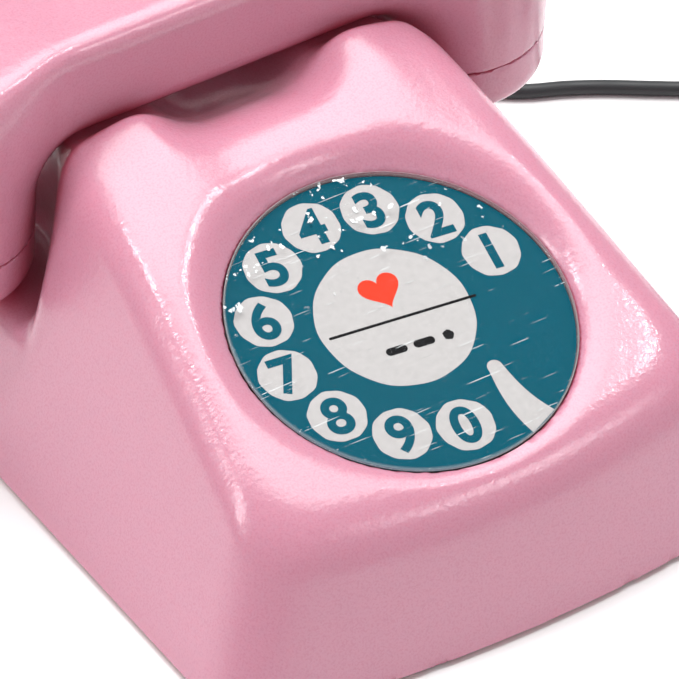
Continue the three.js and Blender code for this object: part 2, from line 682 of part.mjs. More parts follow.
// The plug, made along Y with the cord's end at the origin, then turned to point along -X.
function buildPlug() {
  const place = (shape) => shape.rotate([0, 0, -90]).translate([plug.x, plug.y, 0]);
  const rear = -GAP;
  const bodyRear = rear - plug.neck + 0.5;
  const front = bodyRear - plug.length;
  const neck = solid(new THREE.CylinderGeometry(3.4, 2.4, plug.neck, SIDES.small)
    .rotateX(Math.PI).translate(0, rear - plug.neck / 2, plugZ));
  const half = plug.width / 2;
  const round = 2;
  const low = 0.1 + round;
  const high = plug.height - 0.1 - round;
  const outline = rounded([[half - round, low, round], [half - round, high, round],
    [round - half, high, round], [round - half, low, round]], 3);
  let body = prismY(outline, front, bodyRear).add(neck);
  const { dx, dz, radius, length, root } = plugPin;
  const pins = [[-dx, -dz], [dx, -dz], [-dx, dz], [dx, dz]];
  for (const [x, z] of pins) {
    body = body.subtract(alongY(rod(radius + GAP, -1, root + 2), x, front, plugZ + z));
  }
  piece("line_plug", place(body), black);
  pins.forEach(([x, z], i) => {
    const pin = alongY(rod(radius, -length, root), x, front, plugZ + z);
    piece(`plug_pin_${i + 1}`, place(pin), brass);
  });
}

piece("housing", housing(), pink);
buildDial();
buildHookSwitch();
buildBase();
buildRinger();
buildNetwork();
buildHandset();
buildCord();

export default group;
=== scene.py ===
"""A compact table telephone in gloss pink: looks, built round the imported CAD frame.

Every piece is made in millimetres from the frame's own boxes and turned to metres when its mesh
is written. The moulded shells are drawn as distance fields: a field is negative inside the
plastic, pieces of it are joined and carved with soft edges, and its zero surface is the mesh.
"""
import math

import bpy
import numpy as np
import openvdb
from bpy.props import FloatProperty, FloatVectorProperty, IntProperty, PointerProperty
from mathutils import Matrix, Vector


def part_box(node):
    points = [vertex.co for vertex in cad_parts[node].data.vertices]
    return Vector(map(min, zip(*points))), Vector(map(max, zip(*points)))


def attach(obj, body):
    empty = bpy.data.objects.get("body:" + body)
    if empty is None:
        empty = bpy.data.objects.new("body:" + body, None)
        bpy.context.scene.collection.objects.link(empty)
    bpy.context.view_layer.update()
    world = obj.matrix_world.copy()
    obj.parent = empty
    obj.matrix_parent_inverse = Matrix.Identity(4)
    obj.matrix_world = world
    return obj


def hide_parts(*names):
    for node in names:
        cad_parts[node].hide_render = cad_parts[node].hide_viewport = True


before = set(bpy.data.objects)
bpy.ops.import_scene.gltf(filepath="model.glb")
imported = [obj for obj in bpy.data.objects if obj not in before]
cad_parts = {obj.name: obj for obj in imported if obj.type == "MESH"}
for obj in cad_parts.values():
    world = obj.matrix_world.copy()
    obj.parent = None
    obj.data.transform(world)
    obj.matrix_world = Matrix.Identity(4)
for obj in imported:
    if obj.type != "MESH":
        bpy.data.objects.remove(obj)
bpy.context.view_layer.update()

bl_info = {
    "name": "Compact Table Telephone",
    "version": (1, 0, 0),
    "blender": (4, 5, 0),
    "location": "View3D > Sidebar > Telephone",
    "description": "Builds the shells, dial, cord and finishes of a compact table telephone",
    "category": "Object",
}

MM = 0.001
GAP = 0.3  # between pieces that touch, mm
WALL = 2.5  # of the moulded shells, mm


# ---- places read from the frame, in mm ----
def box_mm(node):
    low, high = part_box(node)
    return np.array(low) / MM, np.array(high) / MM


def centre_mm(node):
    low, high = box_mm(node)
    return (low + high) / 2


HOUSING = box_mm("housing")
SHELL = box_mm("handset_shell")
CAP = box_mm("receiver_cap")
LENS = box_mm("dial_lens")
CUP_X = centre_mm("receiver_cap")[0]
HANDSET_Y = centre_mm("receiver_cap")[1]
DIAL_RADIUS = (LENS[1][0] - LENS[0][0]) / 2


# ---- settings a user would change ----
class StageSettings(bpy.types.PropertyGroup):
    azimuth: FloatProperty(name="Azimuth", description="Camera's turn to the left of the front",
                           default=math.radians(32.5), subtype="ANGLE")
    elevation: FloatProperty(name="Elevation", description="Camera's angle above the table",
                             default=math.radians(40.4), subtype="ANGLE")
    distance: FloatProperty(name="Distance", description="Camera to the dial", default=1.892,
                            unit="LENGTH")
    lens: FloatProperty(name="Lens", description="Focal length in millimetres", default=477.0)
    aim_right: FloatProperty(name="Aim right", description="Camera's shift to its right",
                             default=-0.0132, unit="LENGTH")
    aim_up: FloatProperty(name="Aim up", description="Camera's shift upwards", default=-0.0046,
                          unit="LENGTH")


class BodySettings(bpy.types.PropertyGroup):
    side_draft: FloatProperty(name="Side draft", description="Lean of the side walls",
                              default=math.radians(21), subtype="ANGLE")
    front_draft: FloatProperty(name="Front draft", description="Lean of the front wall",
                               default=math.radians(14.5), subtype="ANGLE")
    rear_draft: FloatProperty(name="Rear draft", description="Lean of the rear wall",
                              default=math.radians(3), subtype="ANGLE")
    face_slope: FloatProperty(name="Face slope", description="Slope of the dial's face",
                              default=math.radians(20.5), subtype="ANGLE")
    dial_slope: FloatProperty(name="Dial slope", description="Slope of the dial itself",
                              default=math.radians(17.5), subtype="ANGLE")
    bow: FloatProperty(name="Front bow", description="How far the front wall bows out, mm",
                       default=8.0)
    corner: FloatProperty(name="Corner softness", description="Of the upright corners, mm",
                          default=13.0, min=0.5)
    lip: FloatProperty(name="Lip softness", description="Of the edge round the face, mm",
                       default=8.0, min=0.5)
    crest: FloatProperty(name="Crest softness", description="Of the horns' front edge, mm",
                         default=10.0, min=0.5)
    voxel: FloatProperty(name="Body detail", description="Size of a mesh cell, mm", default=1.1,
                         min=0.5)


class HandsetSettings(bpy.types.PropertyGroup):
    handle_width: FloatProperty(name="Handle width", description="Front to back, mm", default=27.0)
    handle_height: FloatProperty(name="Handle height", description="Top to bottom, mm", default=25.0)
    handle_round: FloatProperty(name="Handle rounding", description="Corner radius, mm", default=5.5)
    cup_top: FloatProperty(name="Cup radius", description="Radius under the dome, mm", default=22.5)
    cup_bottom: FloatProperty(name="Cap radius", description="Radius at the cap, mm", default=21.0)
    voxel: FloatProperty(name="Handset detail", description="Size of a mesh cell, mm", default=0.9,
                         min=0.4)


class FinishSettings(bpy.types.PropertyGroup):
    pink: FloatVectorProperty(name="Pink", description="The moulded shells' colour", subtype="COLOR",
                              default=(0.60, 0.255, 0.345), min=0, max=1)
    peel: FloatProperty(name="Orange peel", description="Depth of the surface's waviness",
                        default=0.09, min=0)


class CordSettings(bpy.types.PropertyGroup):
    diameter: FloatProperty(name="Diameter", description="Of the line cord", default=0.0034,
                            unit="LENGTH")
    turns_out: IntProperty(name="Turns out", description="Turns side by side in the coil", default=3)
    turns_up: IntProperty(name="Turns up", description="Layers of the coil", default=5)


def settings():
    """The scene, which holds the groups of settings above."""
    return bpy.context.scene


# ---- mesh helpers ----
def link(name, mesh, material):
    piece = bpy.data.objects.new(name, mesh)
    bpy.context.scene.collection.objects.link(piece)
    mesh.materials.append(material)
    return piece


def smooth_max(a, b, soft):
    """The larger of two fields, with its crease rounded over a width of soft."""
    return np.maximum(a, b) + np.maximum(soft - np.abs(a - b), 0) ** 2 / (4 * soft)


def unite(a, b, soft):
    return -smooth_max(-a, -b, soft)


def carve(solid, cutter, soft):
    return smooth_max(solid, -cutter, soft)


def settle(points, field, step):
    """Moves points onto the field's zero surface, so that the mesh is as smooth as the field."""
    rounds = 3
    reach = 0.02
    least_slope = 0.25
    longest = 0.4 * step
    offsets = np.eye(3) * reach
    for _ in range(rounds):
        value = field(*points.T)
        slope = np.stack([field(*(points + o).T) - field(*(points - o).T) for o in offsets], axis=1)
        slope /= 2 * reach
        size = np.maximum((slope**2).sum(1), least_slope)
        move = slope * (value / size)[:, None]
        far = np.linalg.norm(move, axis=1)
        move *= np.minimum(1, longest / np.maximum(far, 1e-9))[:, None]
        points = points - move
    return points


def field_mesh(name, field, low, high, step):
    """A smooth closed mesh of a field's zero surface inside a box, all in mm."""
    band = 3 * step
    axes = [np.arange(a - 2 * step, b + band, step) for a, b in zip(low, high)]
    cells = np.ix_(*axes)
    values = np.clip(field(*cells), -band, band).astype(np.float32)
    grid = openvdb.FloatGrid()
    grid.background = band
    grid.copyFromArray(np.ascontiguousarray(values))
    points, triangles, quads = grid.convertToPolygons(isovalue=0.0, adaptivity=0.0)
    start = np.array([axis[0] for axis in axes])
    points = settle(points.astype(float) * step + start, field, step)
    faces = quads.tolist() + triangles.tolist()
    mesh = bpy.data.meshes.new(name)
    mesh.from_pydata((points * MM).tolist(), [], faces)
    finish_mesh(mesh)
    return mesh


def finish_mesh(mesh, sharp=45):
    """Turns a closed mesh's faces outwards and shades it smooth but for its sharp edges."""
    mesh.calc_loop_triangles()
    corner = np.zeros(len(mesh.loop_triangles) * 3, np.int32)
    mesh.loop_triangles.foreach_get("vertices", corner)
    spots = np.zeros(len(mesh.vertices) * 3, np.float32)
    mesh.vertices.foreach_get("co", spots)
    a, b, c = (spots.reshape(-1, 3)[corner.reshape(-1, 3)[:, i]].astype(float) for i in range(3))
    if (a * np.cross(b, c)).sum() < 0:
        mesh.flip_normals()
    mesh.shade_smooth()
    mesh.set_sharp_from_angle(angle=math.radians(sharp))
    mesh.update()


def arc(centre, radius, start, end, steps):
    """Points on a round stretch of an outline, with its angles in degrees."""
    angles = np.radians(np.linspace(start, end, steps + 1))
    return [(centre[0] + radius * math.cos(t), centre[1] + radius * math.sin(t)) for t in angles]


def lathe_mesh(name, outline, place, segments=64):
    """A turned mesh: outline is closed points (radius, height) in mm, place a matrix in mm.

    A point on the axis becomes a single vertex.
    """
    vertices = []
    rings = []
    for radius, height in outline:
        if radius < 1e-6:
            rings.append([len(vertices)] * segments)
            vertices.append((0, 0, height))
            continue
        rings.append(list(range(len(vertices), len(vertices) + segments)))
        for k in range(segments):
            turn = 2 * math.pi * k / segments
            vertices.append((radius * math.cos(turn), radius * math.sin(turn), height))
    faces = []
    for i, ring in enumerate(rings):
        after = rings[(i + 1) % len(rings)]
        for k in range(segments):
            n = (k + 1) % segments
            face = list(dict.fromkeys([ring[k], ring[n], after[n], after[k]]))
            if len(face) > 2:
                faces.append(face)
    mesh = bpy.data.meshes.new(name)
    mesh.from_pydata([tuple((place @ Vector(v)) * MM) for v in vertices], [], faces)
    finish_mesh(mesh, 35)
    return mesh


# ---- materials ----
def linear(text):
    """A linear colour from an sRGB hex value."""
    parts = [int(text[i : i + 2], 16) / 255 for i in (1, 3, 5)]
    return [p / 12.92 if p <= 0.04045 else ((p + 0.055) / 1.055) ** 2.4 for p in parts] + [1]


def add(tree, kind, inputs=None, **attributes):
    """Adds a node. An input is a value, or a socket to link from."""
    node = tree.nodes.new(kind)
    for key, value in attributes.items():
        setattr(node, key, value)
    for key, value in (inputs or {}).items():
        if isinstance(value, bpy.types.NodeSocket):
            tree.links.new(value, node.inputs[key])
        else:
            node.inputs[key].default_value = value
    return node


def new_material(name):
    """A material with its node tree, its shader and its Object coordinates."""
    material = bpy.data.materials.new(name)
    material.use_nodes = True
    tree = material.node_tree
    place = add(tree, "ShaderNodeTexCoord").outputs["Object"]
    return material, tree, tree.nodes["Principled BSDF"], place


def set_shader(shader, **values):
    """Sets the shader's own sockets. A socket's spaces are written as underscores."""
    for key, value in values.items():
        shader.inputs[key.replace("_", " ")].default_value = value


def noise(tree, place, size_mm, detail=2.0):
    """A noise pattern whose features are about size_mm across."""
    scale = 1 / (size_mm * MM)
    return add(tree, "ShaderNodeTexNoise", {"Vector": place, "Scale": scale, "Detail": detail})


def ramp(tree, factor, stops):
    """A colour ramp from (position, colour) stops."""
    node = add(tree, "ShaderNodeValToRGB", {"Fac": factor})
    elements = node.color_ramp.elements
    while len(elements) < len(stops):
        elements.new(0.5)
    for element, (position, colour) in zip(elements, stops):
        element.position = position
        element.color = colour
    return node.outputs["Color"]


def grey(value):
    return (value, value, value, 1)


def bump(tree, height, depth_mm, normal=None):
    """A surface pushed out by a pattern, on top of another bump's normal if there is one."""
    inputs = {"Height": height, "Distance": depth_mm * MM, "Strength": 1.0}
    if normal is not None:
        inputs["Normal"] = normal
    return add(tree, "ShaderNodeBump", inputs).outputs["Normal"]


def shift(tree, colour, factor, strength, darker):
    """The colour with darker mixed in by a pattern."""
    amount = add(tree, "ShaderNodeMath", {0: factor, 1: strength}, operation="MULTIPLY")
    mix = add(tree, "ShaderNodeMix", {"Factor": amount.outputs[0], "A": colour, "B": darker},
              data_type="RGBA")
    return mix.outputs["Result"]


def gloss_pink_abs():
    """Injection-moulded ABS: high gloss with a faint orange peel that breaks highlights up, and a fine
    grain of dust-sized pits. Narrow gaps and hollows, found by ambient occlusion, are painted a deeper
    red as painted shade.
    """
    material, tree, shader, place = new_material("gloss_pink_abs")
    colour = list(settings().telephone_finish.pink) + [1]
    cloud = noise(tree, place, 22, 3).outputs["Fac"]
    deeper = [colour[0] * 0.93, colour[1] * 0.86, colour[2] * 0.9, 1]
    body = shift(tree, colour, cloud, 0.35, deeper)
    dusty = noise(tree, place, 0.5, 2).outputs["Fac"]
    specks = ramp(tree, dusty, [(0.45, grey(0.0)), (0.7, grey(1.0))])
    speck_colour = [colour[0] * 0.85, colour[1] * 0.66, colour[2] * 0.74, 1]
    body = shift(tree, body, specks, 0.4, speck_colour)
    # Painted shade: a deep red is mixed into the colour where ambient occlusion finds narrow gaps and
    # hollows.
    hollow = add(tree, "ShaderNodeAmbientOcclusion", {"Distance": 12 * MM}, samples=8)
    depth = ramp(tree, hollow.outputs["AO"], [(0.12, grey(0.75)), (0.62, grey(0.0))])
    painted_gap_shade_red = linear("#b0203f")
    body = shift(tree, body, depth, 1.0, painted_gap_shade_red)
    tree.links.new(body, shader.inputs["Base Color"])
    peel = bump(tree, noise(tree, place, 2.0, 3).outputs["Fac"], settings().telephone_finish.peel)
    grain = bump(tree, noise(tree, place, 0.8, 3).outputs["Fac"], 0.05, peel)
    tree.links.new(grain, shader.inputs["Normal"])
    gloss = noise(tree, place, 1.1, 4).outputs["Fac"]
    rough = ramp(tree, gloss, [(0.3, grey(0.14)), (0.75, grey(0.26))])
    tree.links.new(rough, shader.inputs["Roughness"])
    set_shader(shader, IOR=1.6, Subsurface_Weight=0.35, Subsurface_Scale=0.006,
               Coat_Weight=0.4, Coat_Roughness=0.35)
    shader.inputs["Subsurface Radius"].default_value = (1.0, 0.25, 0.3)
    return material


def printed(name, ink, paper_specks):
    """Ink printed on card: mottled by the card's fibres, with specks where the ink missed."""
    material, tree, shader, place = new_material(name)
    base = linear(ink)
    darker = [c * 0.72 for c in base[:3]] + [1]
    mottled = shift(tree, base, noise(tree, place, 1.4, 5).outputs["Fac"], 0.75, darker)
    specks = ramp(tree, noise(tree, place, 0.42, 3).outputs["Fac"],
                  [(0.64, grey(0.0)), (0.72, grey(1.0))])
    pale_blue = linear("#8fb9bf")
    worn = shift(tree, mottled, specks, paper_specks, pale_blue)
    tree.links.new(worn, shader.inputs["Base Color"])
    fibre = bump(tree, noise(tree, place, 0.35, 3).outputs["Fac"], 0.01)
    tree.links.new(fibre, shader.inputs["Normal"])
    set_shader(shader, Roughness=0.6, Specular_IOR_Level=0.03)
    return material


def scuffed_acrylic():
    """A clear acrylic cover: nearly invisible but for its gloss, with a whitish rim painted on as a
    highlight of its polished edge, hair scratches that run all ways, dust, and chips by the edge that
    faces the handset, painted as bright white flakes that stand in for their glints.
    """
    material, tree, shader, place = new_material("scuffed_acrylic")
    middle = Vector((0, DIAL["y"], DIAL["z"])) * MM
    marks = []
    for angle, stretch, cutoff in ((20, 30, 0.76), (-35, 22, 0.77), (80, 36, 0.765)):
        turned = add(tree, "ShaderNodeMapping", {"Vector": place,
                     "Rotation": (0, 0, math.radians(angle)), "Scale": (1 / stretch, 1, 1)})
        lines = noise(tree, turned.outputs["Vector"], 0.45, 1).outputs["Fac"]
        marks.append(ramp(tree, lines, [(cutoff, grey(0.0)), (cutoff + 0.03, grey(0.6))]))
    dust = noise(tree, place, 0.5, 2).outputs["Fac"]
    marks.append(ramp(tree, dust, [(0.77, grey(0.0)), (0.79, grey(0.8))]))
    centred = add(tree, "ShaderNodeMapping", {"Vector": place, "Location": tuple(-middle)})
    reach = add(tree, "ShaderNodeVectorMath", {0: centred.outputs["Vector"]}, operation="LENGTH")
    # Painted highlight: the cover turns more opaque and whitish towards its rim.
    painted_rim_highlight = add(tree, "ShaderNodeMapRange", {"Value": reach.outputs["Value"],
              "From Min": (DIAL_RADIUS - 0.6) * MM, "From Max": (DIAL_RADIUS - 0.1) * MM,
              "To Max": 0.3})
    marks.append(painted_rim_highlight.outputs["Result"])
    split = add(tree, "ShaderNodeSeparateXYZ", {"Vector": centred.outputs["Vector"]})
    upper = add(tree, "ShaderNodeMapRange", {"Value": split.outputs["Y"],
                "From Min": 0.2 * DIAL_RADIUS * MM, "From Max": 0.5 * DIAL_RADIUS * MM})
    # Chips painted as glints: bright white flakes over the upper half of the cover, which stand in for
    # the light that chips catch.
    painted_glint_flakes = noise(tree, place, 2.6, 9).outputs["Fac"]
    painted_glint_flakes = ramp(tree, painted_glint_flakes, [(0.672, grey(0.0)), (0.682, grey(0.95))])
    chips_painted_as_glints = add(tree, "ShaderNodeMath", {0: painted_glint_flakes, 1: upper.outputs["Result"]},
                  operation="MULTIPLY")
    marks.append(chips_painted_as_glints.outputs[0])
    # Real scratches and dust, and the painted rim highlight and glints, all make the cover whitish and
    # less clear.
    seen = marks[0]
    for mark in marks[1:]:
        seen = add(tree, "ShaderNodeMath", {0: seen, 1: mark}, operation="MAXIMUM").outputs[0]
    alpha = add(tree, "ShaderNodeMapRange", {"Value": seen, "To Min": 0.02, "To Max": 0.95})
    tree.links.new(alpha.outputs["Result"], shader.inputs["Alpha"])
    set_shader(shader, Roughness=0.1, IOR=1.49)
    tone = ramp(tree, seen, [(0.0, grey(0.02)), (0.4, linear("#eef4f5"))])
    tree.links.new(tone, shader.inputs["Base Color"])
    wavy = bump(tree, noise(tree, place, 1.2, 3).outputs["Fac"], 0.03)
    tree.links.new(wavy, shader.inputs["Normal"])
    return material


def moulded(name, ink, roughness, grain_mm, depth_mm):
    """A moulded plastic or rubber with a fine grain."""
    material, tree, shader, place = new_material(name)
    base = linear(ink)
    lighter = [min(1, c * 1.5 + 0.004) for c in base[:3]] + [1]
    cloud = noise(tree, place, 6, 4).outputs["Fac"]
    tree.links.new(shift(tree, base, cloud, 0.5, lighter), shader.inputs["Base Color"])
    fine = noise(tree, place, grain_mm, 3).outputs["Fac"]
    tree.links.new(bump(tree, fine, depth_mm), shader.inputs["Normal"])
    rough = ramp(tree, cloud, [(0.3, grey(roughness * 0.85)), (0.7, grey(roughness * 1.15))])
    tree.links.new(rough, shader.inputs["Roughness"])
    return material


def metal(name, ink, roughness, grain_mm):
    """A plated or drawn metal with fine lines from its making and dull patches."""
    material, tree, shader, place = new_material(name)
    base = linear(ink)
    dull = [c * 0.62 for c in base[:3]] + [1]
    patches = noise(tree, place, 5, 5).outputs["Fac"]
    tree.links.new(shift(tree, base, patches, 0.6, dull), shader.inputs["Base Color"])
    stretched = add(tree, "ShaderNodeMapping", {"Vector": place, "Scale": (0.08, 1, 1)})
    lines = noise(tree, stretched.outputs["Vector"], grain_mm, 3).outputs["Fac"]
    tree.links.new(bump(tree, lines, 0.006), shader.inputs["Normal"])
    rough = ramp(tree, patches, [(0.3, grey(roughness * 0.8)), (0.75, grey(roughness * 1.3))])
    tree.links.new(rough, shader.inputs["Roughness"])
    set_shader(shader, Metallic=1.0)
    return material


def wound_wire():
    """Enamelled copper wire laid side by side: fine ridges round the bobbin."""
    material, tree, shader, place = new_material("wound_enamelled_wire")
    bands_per_scale = 6.3
    wire_scale = 1 / (0.9 * MM) / bands_per_scale
    rings = add(tree, "ShaderNodeTexWave", {"Vector": place, "Scale": wire_scale, "Distortion": 0.4},
                bands_direction="X")
    ridge = rings.outputs["Fac"]
    # Painted shade: the wire is coloured dark brown in the grooves between turns and bright copper on
    # their crowns.
    colour = ramp(tree, ridge, [(0.2, linear("#4a1c0c")), (0.8, linear("#a85a2e"))])
    tree.links.new(colour, shader.inputs["Base Color"])
    tree.links.new(bump(tree, ridge, 0.12), shader.inputs["Normal"])
    set_shader(shader, Roughness=0.32, Metallic=0.35)
    return material


def pale_table():
    """A plain pale sweep for the telephone to stand on."""
    material, tree, shader, place = new_material("pale_table")
    soft = noise(tree, place, 60, 2).outputs["Fac"]
    colour = ramp(tree, soft, [(0.2, grey(0.94)), (0.8, grey(0.96))])
    tree.links.new(colour, shader.inputs["Base Color"])
    set_shader(shader, Roughness=0.6)
    return material


MATERIALS = {}


def material(name):
    """Each material is made once, when it is first asked for."""
    makers = {
        "pink": gloss_pink_abs,
        "teal_ink": lambda: printed("teal_ink_on_card", "#02576a", 0.08),
        "white_card": lambda: printed("white_card", "#c6c3c2", 0.0),
        "black_ink": lambda: printed("black_ink_on_card", "#1b1a1c", 0.12),
        "red_ink": lambda: printed("red_ink_on_card", "#f0432c", 0.1),
        "cover": scuffed_acrylic,
        "black_abs": lambda: moulded("black_moulded_abs", "#1d1e20", 0.45, 0.5, 0.03),
        "black_pvc": lambda: moulded("black_soft_pvc", "#242628", 0.5, 0.4, 0.02),
        "rubber": lambda: moulded("black_rubber", "#1a1a1b", 0.75, 0.6, 0.05),
        "phenolic": lambda: moulded("phenolic_laminate", "#4f2f1a", 0.5, 1.2, 0.03),
        "steel": lambda: metal("zinc_plated_steel", "#b4b3ad", 0.34, 0.4),
        "brass": lambda: metal("spun_brass", "#c19a4e", 0.28, 0.3),
        "aluminium": lambda: metal("drawn_aluminium", "#c3c5c7", 0.36, 0.3),
        "wire": wound_wire,
    }
    if name not in MATERIALS:
        MATERIALS[name] = makers[name]()
    return MATERIALS[name]


# ---- the shells' shapes, as fields in mm ----
HALF_WIDTH = 71.4  # of the body at the table
DEPTH = 162.0
FACE_RISE = 2.4  # of the sloping face over the middle of the dial
DIAL = {"y": -28.0, "z": 48.6}
DISH = {"radius": 38.2, "floor": -4.6, "flare_from": -1.0, "flare": 1.4}
HORN = {"saddle": 68.6, "rise": 5.2, "x": 27.0, "width": 9.5}
TROUGH = {"front": 39.6, "rear": 68.4, "floor": 65.2, "top": 74.0, "flare": 3.2}
VALLEY = {"front_y": 25.0, "front_z": 69.5, "floor_y": 43.6, "floor": 57.0, "half": 14.0,
          "widen": 0.47}
SCOOP = {"radius": 26.0, "floor": 31.5}
CUT_SOFTNESS = {"dish": 2.4, "valley": 6, "trough": 4, "scoops": 5}  # of the hollows' edges
BOSS = {"x": 50.0, "y": 47.0, "radius": 4.0, "hole": 1.8, "bottom": 4.3, "depth": 17.0}
PLUNGER = {"x": 28.0, "hole": 3.5, "from_z": 55}
CORD_EXIT = {"x": 30.0, "z": 11.0, "hole": 3.7, "from_y": 60}
STEM = {"hole": 5.3, "middle": -8.6, "half": 6}  # of the dial's carrier, through the dish's floor
CUP = {"height": 36, "dome": 14, "join": 11}  # of the handset, the join being with its handle
INLET = {"z": 56, "hole": 2.9, "from_axis": 10}  # for a cord, in the rear of the left cup
SOUND_HOLES = {"radius": 1.1, "ring": 7, "edge": 0.5}


def on_dial(x, y, z):
    """The dial's own coordinates: right, up its slope, and out of its face."""
    slope = settings().telephone_body.dial_slope
    y = y - DIAL["y"]
    z = z - DIAL["z"]
    up = y * math.cos(slope) + z * math.sin(slope)
    out = z * math.cos(slope) - y * math.sin(slope)
    return x, up, out


def body_walls(x, y, z):
    """The four leaning walls, with the front one bowed."""
    body = settings().telephone_body
    half = HALF_WIDTH - z * math.tan(body.side_draft)
    side = (np.abs(x) - half) * math.cos(body.side_draft)
    front_y = -DEPTH / 2 + z * math.tan(body.front_draft) + body.bow * (x / half) ** 2
    front = (front_y - y) * math.cos(body.front_draft)
    rear = (y - DEPTH / 2 + z * math.tan(body.rear_draft)) * math.cos(body.rear_draft)
    return smooth_max(side, np.maximum(front, rear), body.corner)


def body_top(x, y, z):
    """The sloping face, and the crest of the horns that it runs up to."""
    body = settings().telephone_body
    middle = DIAL["z"] + FACE_RISE
    face = (z - middle - (y - DIAL["y"]) * math.tan(body.face_slope)) * math.cos(body.face_slope)
    bump = np.exp(-(((np.abs(x) - HORN["x"]) / HORN["width"]) ** 2))
    crest = z - HORN["saddle"] - HORN["rise"] * bump
    return smooth_max(face, crest, body.crest)


def dish(x, y, z):
    """The dial's round seat, which flares open above the dial."""
    across, up, out = on_dial(x, y, z)
    reach = np.sqrt(across**2 + up**2)
    open_radius = DISH["radius"] + DISH["flare"] * np.maximum(out - DISH["flare_from"], 0)
    lean = np.where(out > DISH["flare_from"], 1 / math.hypot(1, DISH["flare"]), 1)
    return np.maximum((reach - open_radius) * lean, DISH["floor"] - out)


def trough(x, y, z):
    """The channel across the top that the handle lies in."""
    rise = (z - TROUGH["floor"]) / (TROUGH["top"] - TROUGH["floor"])
    front = TROUGH["front"] - TROUGH["flare"] * rise - y
    rear = y - TROUGH["rear"] - TROUGH["flare"] / 2 * rise
    return smooth_max(TROUGH["floor"] - z, np.maximum(front, rear), 4)


def valley(x, y, z):
    """The deeper hollow between the horns, where fingers reach under the handle."""
    run = VALLEY["floor_y"] - VALLEY["front_y"]
    fall = VALLEY["front_z"] - VALLEY["floor"]
    ramp_z = VALLEY["front_z"] - (y - VALLEY["front_y"]) * fall / run
    slope = (ramp_z - z) * run / math.hypot(run, fall)
    rear = y - TROUGH["rear"] + 2
    along = smooth_max(smooth_max(slope, VALLEY["floor"] - z, 4), rear, 6)
    across = (np.abs(x) - VALLEY["half"] - VALLEY["widen"] * (z - VALLEY["floor"])) * 0.9
    return smooth_max(along, across, 9)


def from_twin_axes(x, across, middle_x, middle_across):
    """How far a place is from the nearer of two axes, one on the left and one on the right."""
    return np.sqrt((np.abs(x) - middle_x) ** 2 + (across - middle_across) ** 2)


def scoops(x, y, z):
    """The upright half-round hollow in each side wall that clears a cup of the handset."""
    reach = from_twin_axes(x, y, CUP_X, HANDSET_Y)
    return smooth_max(reach - SCOOP["radius"], SCOOP["floor"] - z, 3)


def body_outside(x, y, z):
    body = settings().telephone_body
    shape = smooth_max(body_walls(x, y, z), body_top(x, y, z), body.lip)
    for hollow in (dish, valley, trough, scoops):
        shape = carve(shape, hollow(x, y, z), CUT_SOFTNESS[hollow.__name__])
    return shape


def body_shell(x, y, z):
    """The body's wall, its screw bosses, and the holes for plungers, stem, screws and cords."""
    outside = body_outside(x, y, z)
    shell = np.maximum(outside, -(outside + WALL))
    boss = from_twin_axes(x, np.abs(y), BOSS["x"], BOSS["y"])
    posts = np.maximum(np.maximum(boss - BOSS["radius"], BOSS["bottom"] - z), outside)
    shell = np.minimum(shell, posts)
    drilled = np.maximum(boss - BOSS["hole"], z - BOSS["depth"])
    plunger = from_twin_axes(x, y, PLUNGER["x"], HANDSET_Y) - PLUNGER["hole"]
    plunger = np.maximum(plunger, PLUNGER["from_z"] - z)
    cords = from_twin_axes(x, z, CORD_EXIT["x"], CORD_EXIT["z"]) - CORD_EXIT["hole"]
    cords = np.maximum(cords, CORD_EXIT["from_y"] - y)
    across, up, out = on_dial(x, y, z)
    stem = np.sqrt(across**2 + up**2) - STEM["hole"]
    stem = np.maximum(stem, np.abs(out - STEM["middle"]) - STEM["half"])
    for hole in (drilled, plunger, cords, stem):
        shell = np.maximum(shell, -hole)
    return np.maximum(shell, HOUSING[0][2] - z)


def handle_bar(x, y, z):
    """The straight handle, with its four long edges rounded."""
    handset = settings().telephone_handset
    rounding = handset.handle_round
    across = np.abs(y - HANDSET_Y) - (handset.handle_width / 2 - rounding)
    middle = SHELL[1][2] - handset.handle_height / 2
    along = np.abs(z - middle) - (handset.handle_height / 2 - rounding)
    out = np.sqrt(np.maximum(across, 0) ** 2 + np.maximum(along, 0) ** 2)
    bar = out + np.minimum(np.maximum(across, along), 0) - rounding
    return np.maximum(bar, np.abs(x) - CUP_X)


def cups(x, y, z, inset=0.0):
    """Both ends of the handset: round cups that widen upwards to a domed top."""
    handset = settings().telephone_handset
    reach = from_twin_axes(x, y, CUP_X, HANDSET_Y)
    climb = (z - SHELL[0][2]) / CUP["height"]
    radius = handset.cup_bottom + (handset.cup_top - handset.cup_bottom) * climb - inset
    return smooth_max(reach - radius, z - SHELL[1][2] + inset, CUP["dome"] - inset)


def handset_shell(x, y, z):
    """The handle joined to both cups, the cups hollow from below, and the inlet for a cord."""
    outside = unite(handle_bar(x, y, z), cups(x, y, z), CUP["join"])
    outside = smooth_max(outside, z - SHELL[1][2] - 0.3, 2)
    outside = np.maximum(outside, SHELL[0][2] - z)
    inlet = np.sqrt((x + CUP_X) ** 2 + (z - INLET["z"]) ** 2) - INLET["hole"]
    inlet = np.maximum(inlet, HANDSET_Y + INLET["from_axis"] - y)
    hollow = np.maximum(outside, -cups(x, y, z, WALL))
    return np.maximum(hollow, -inlet)


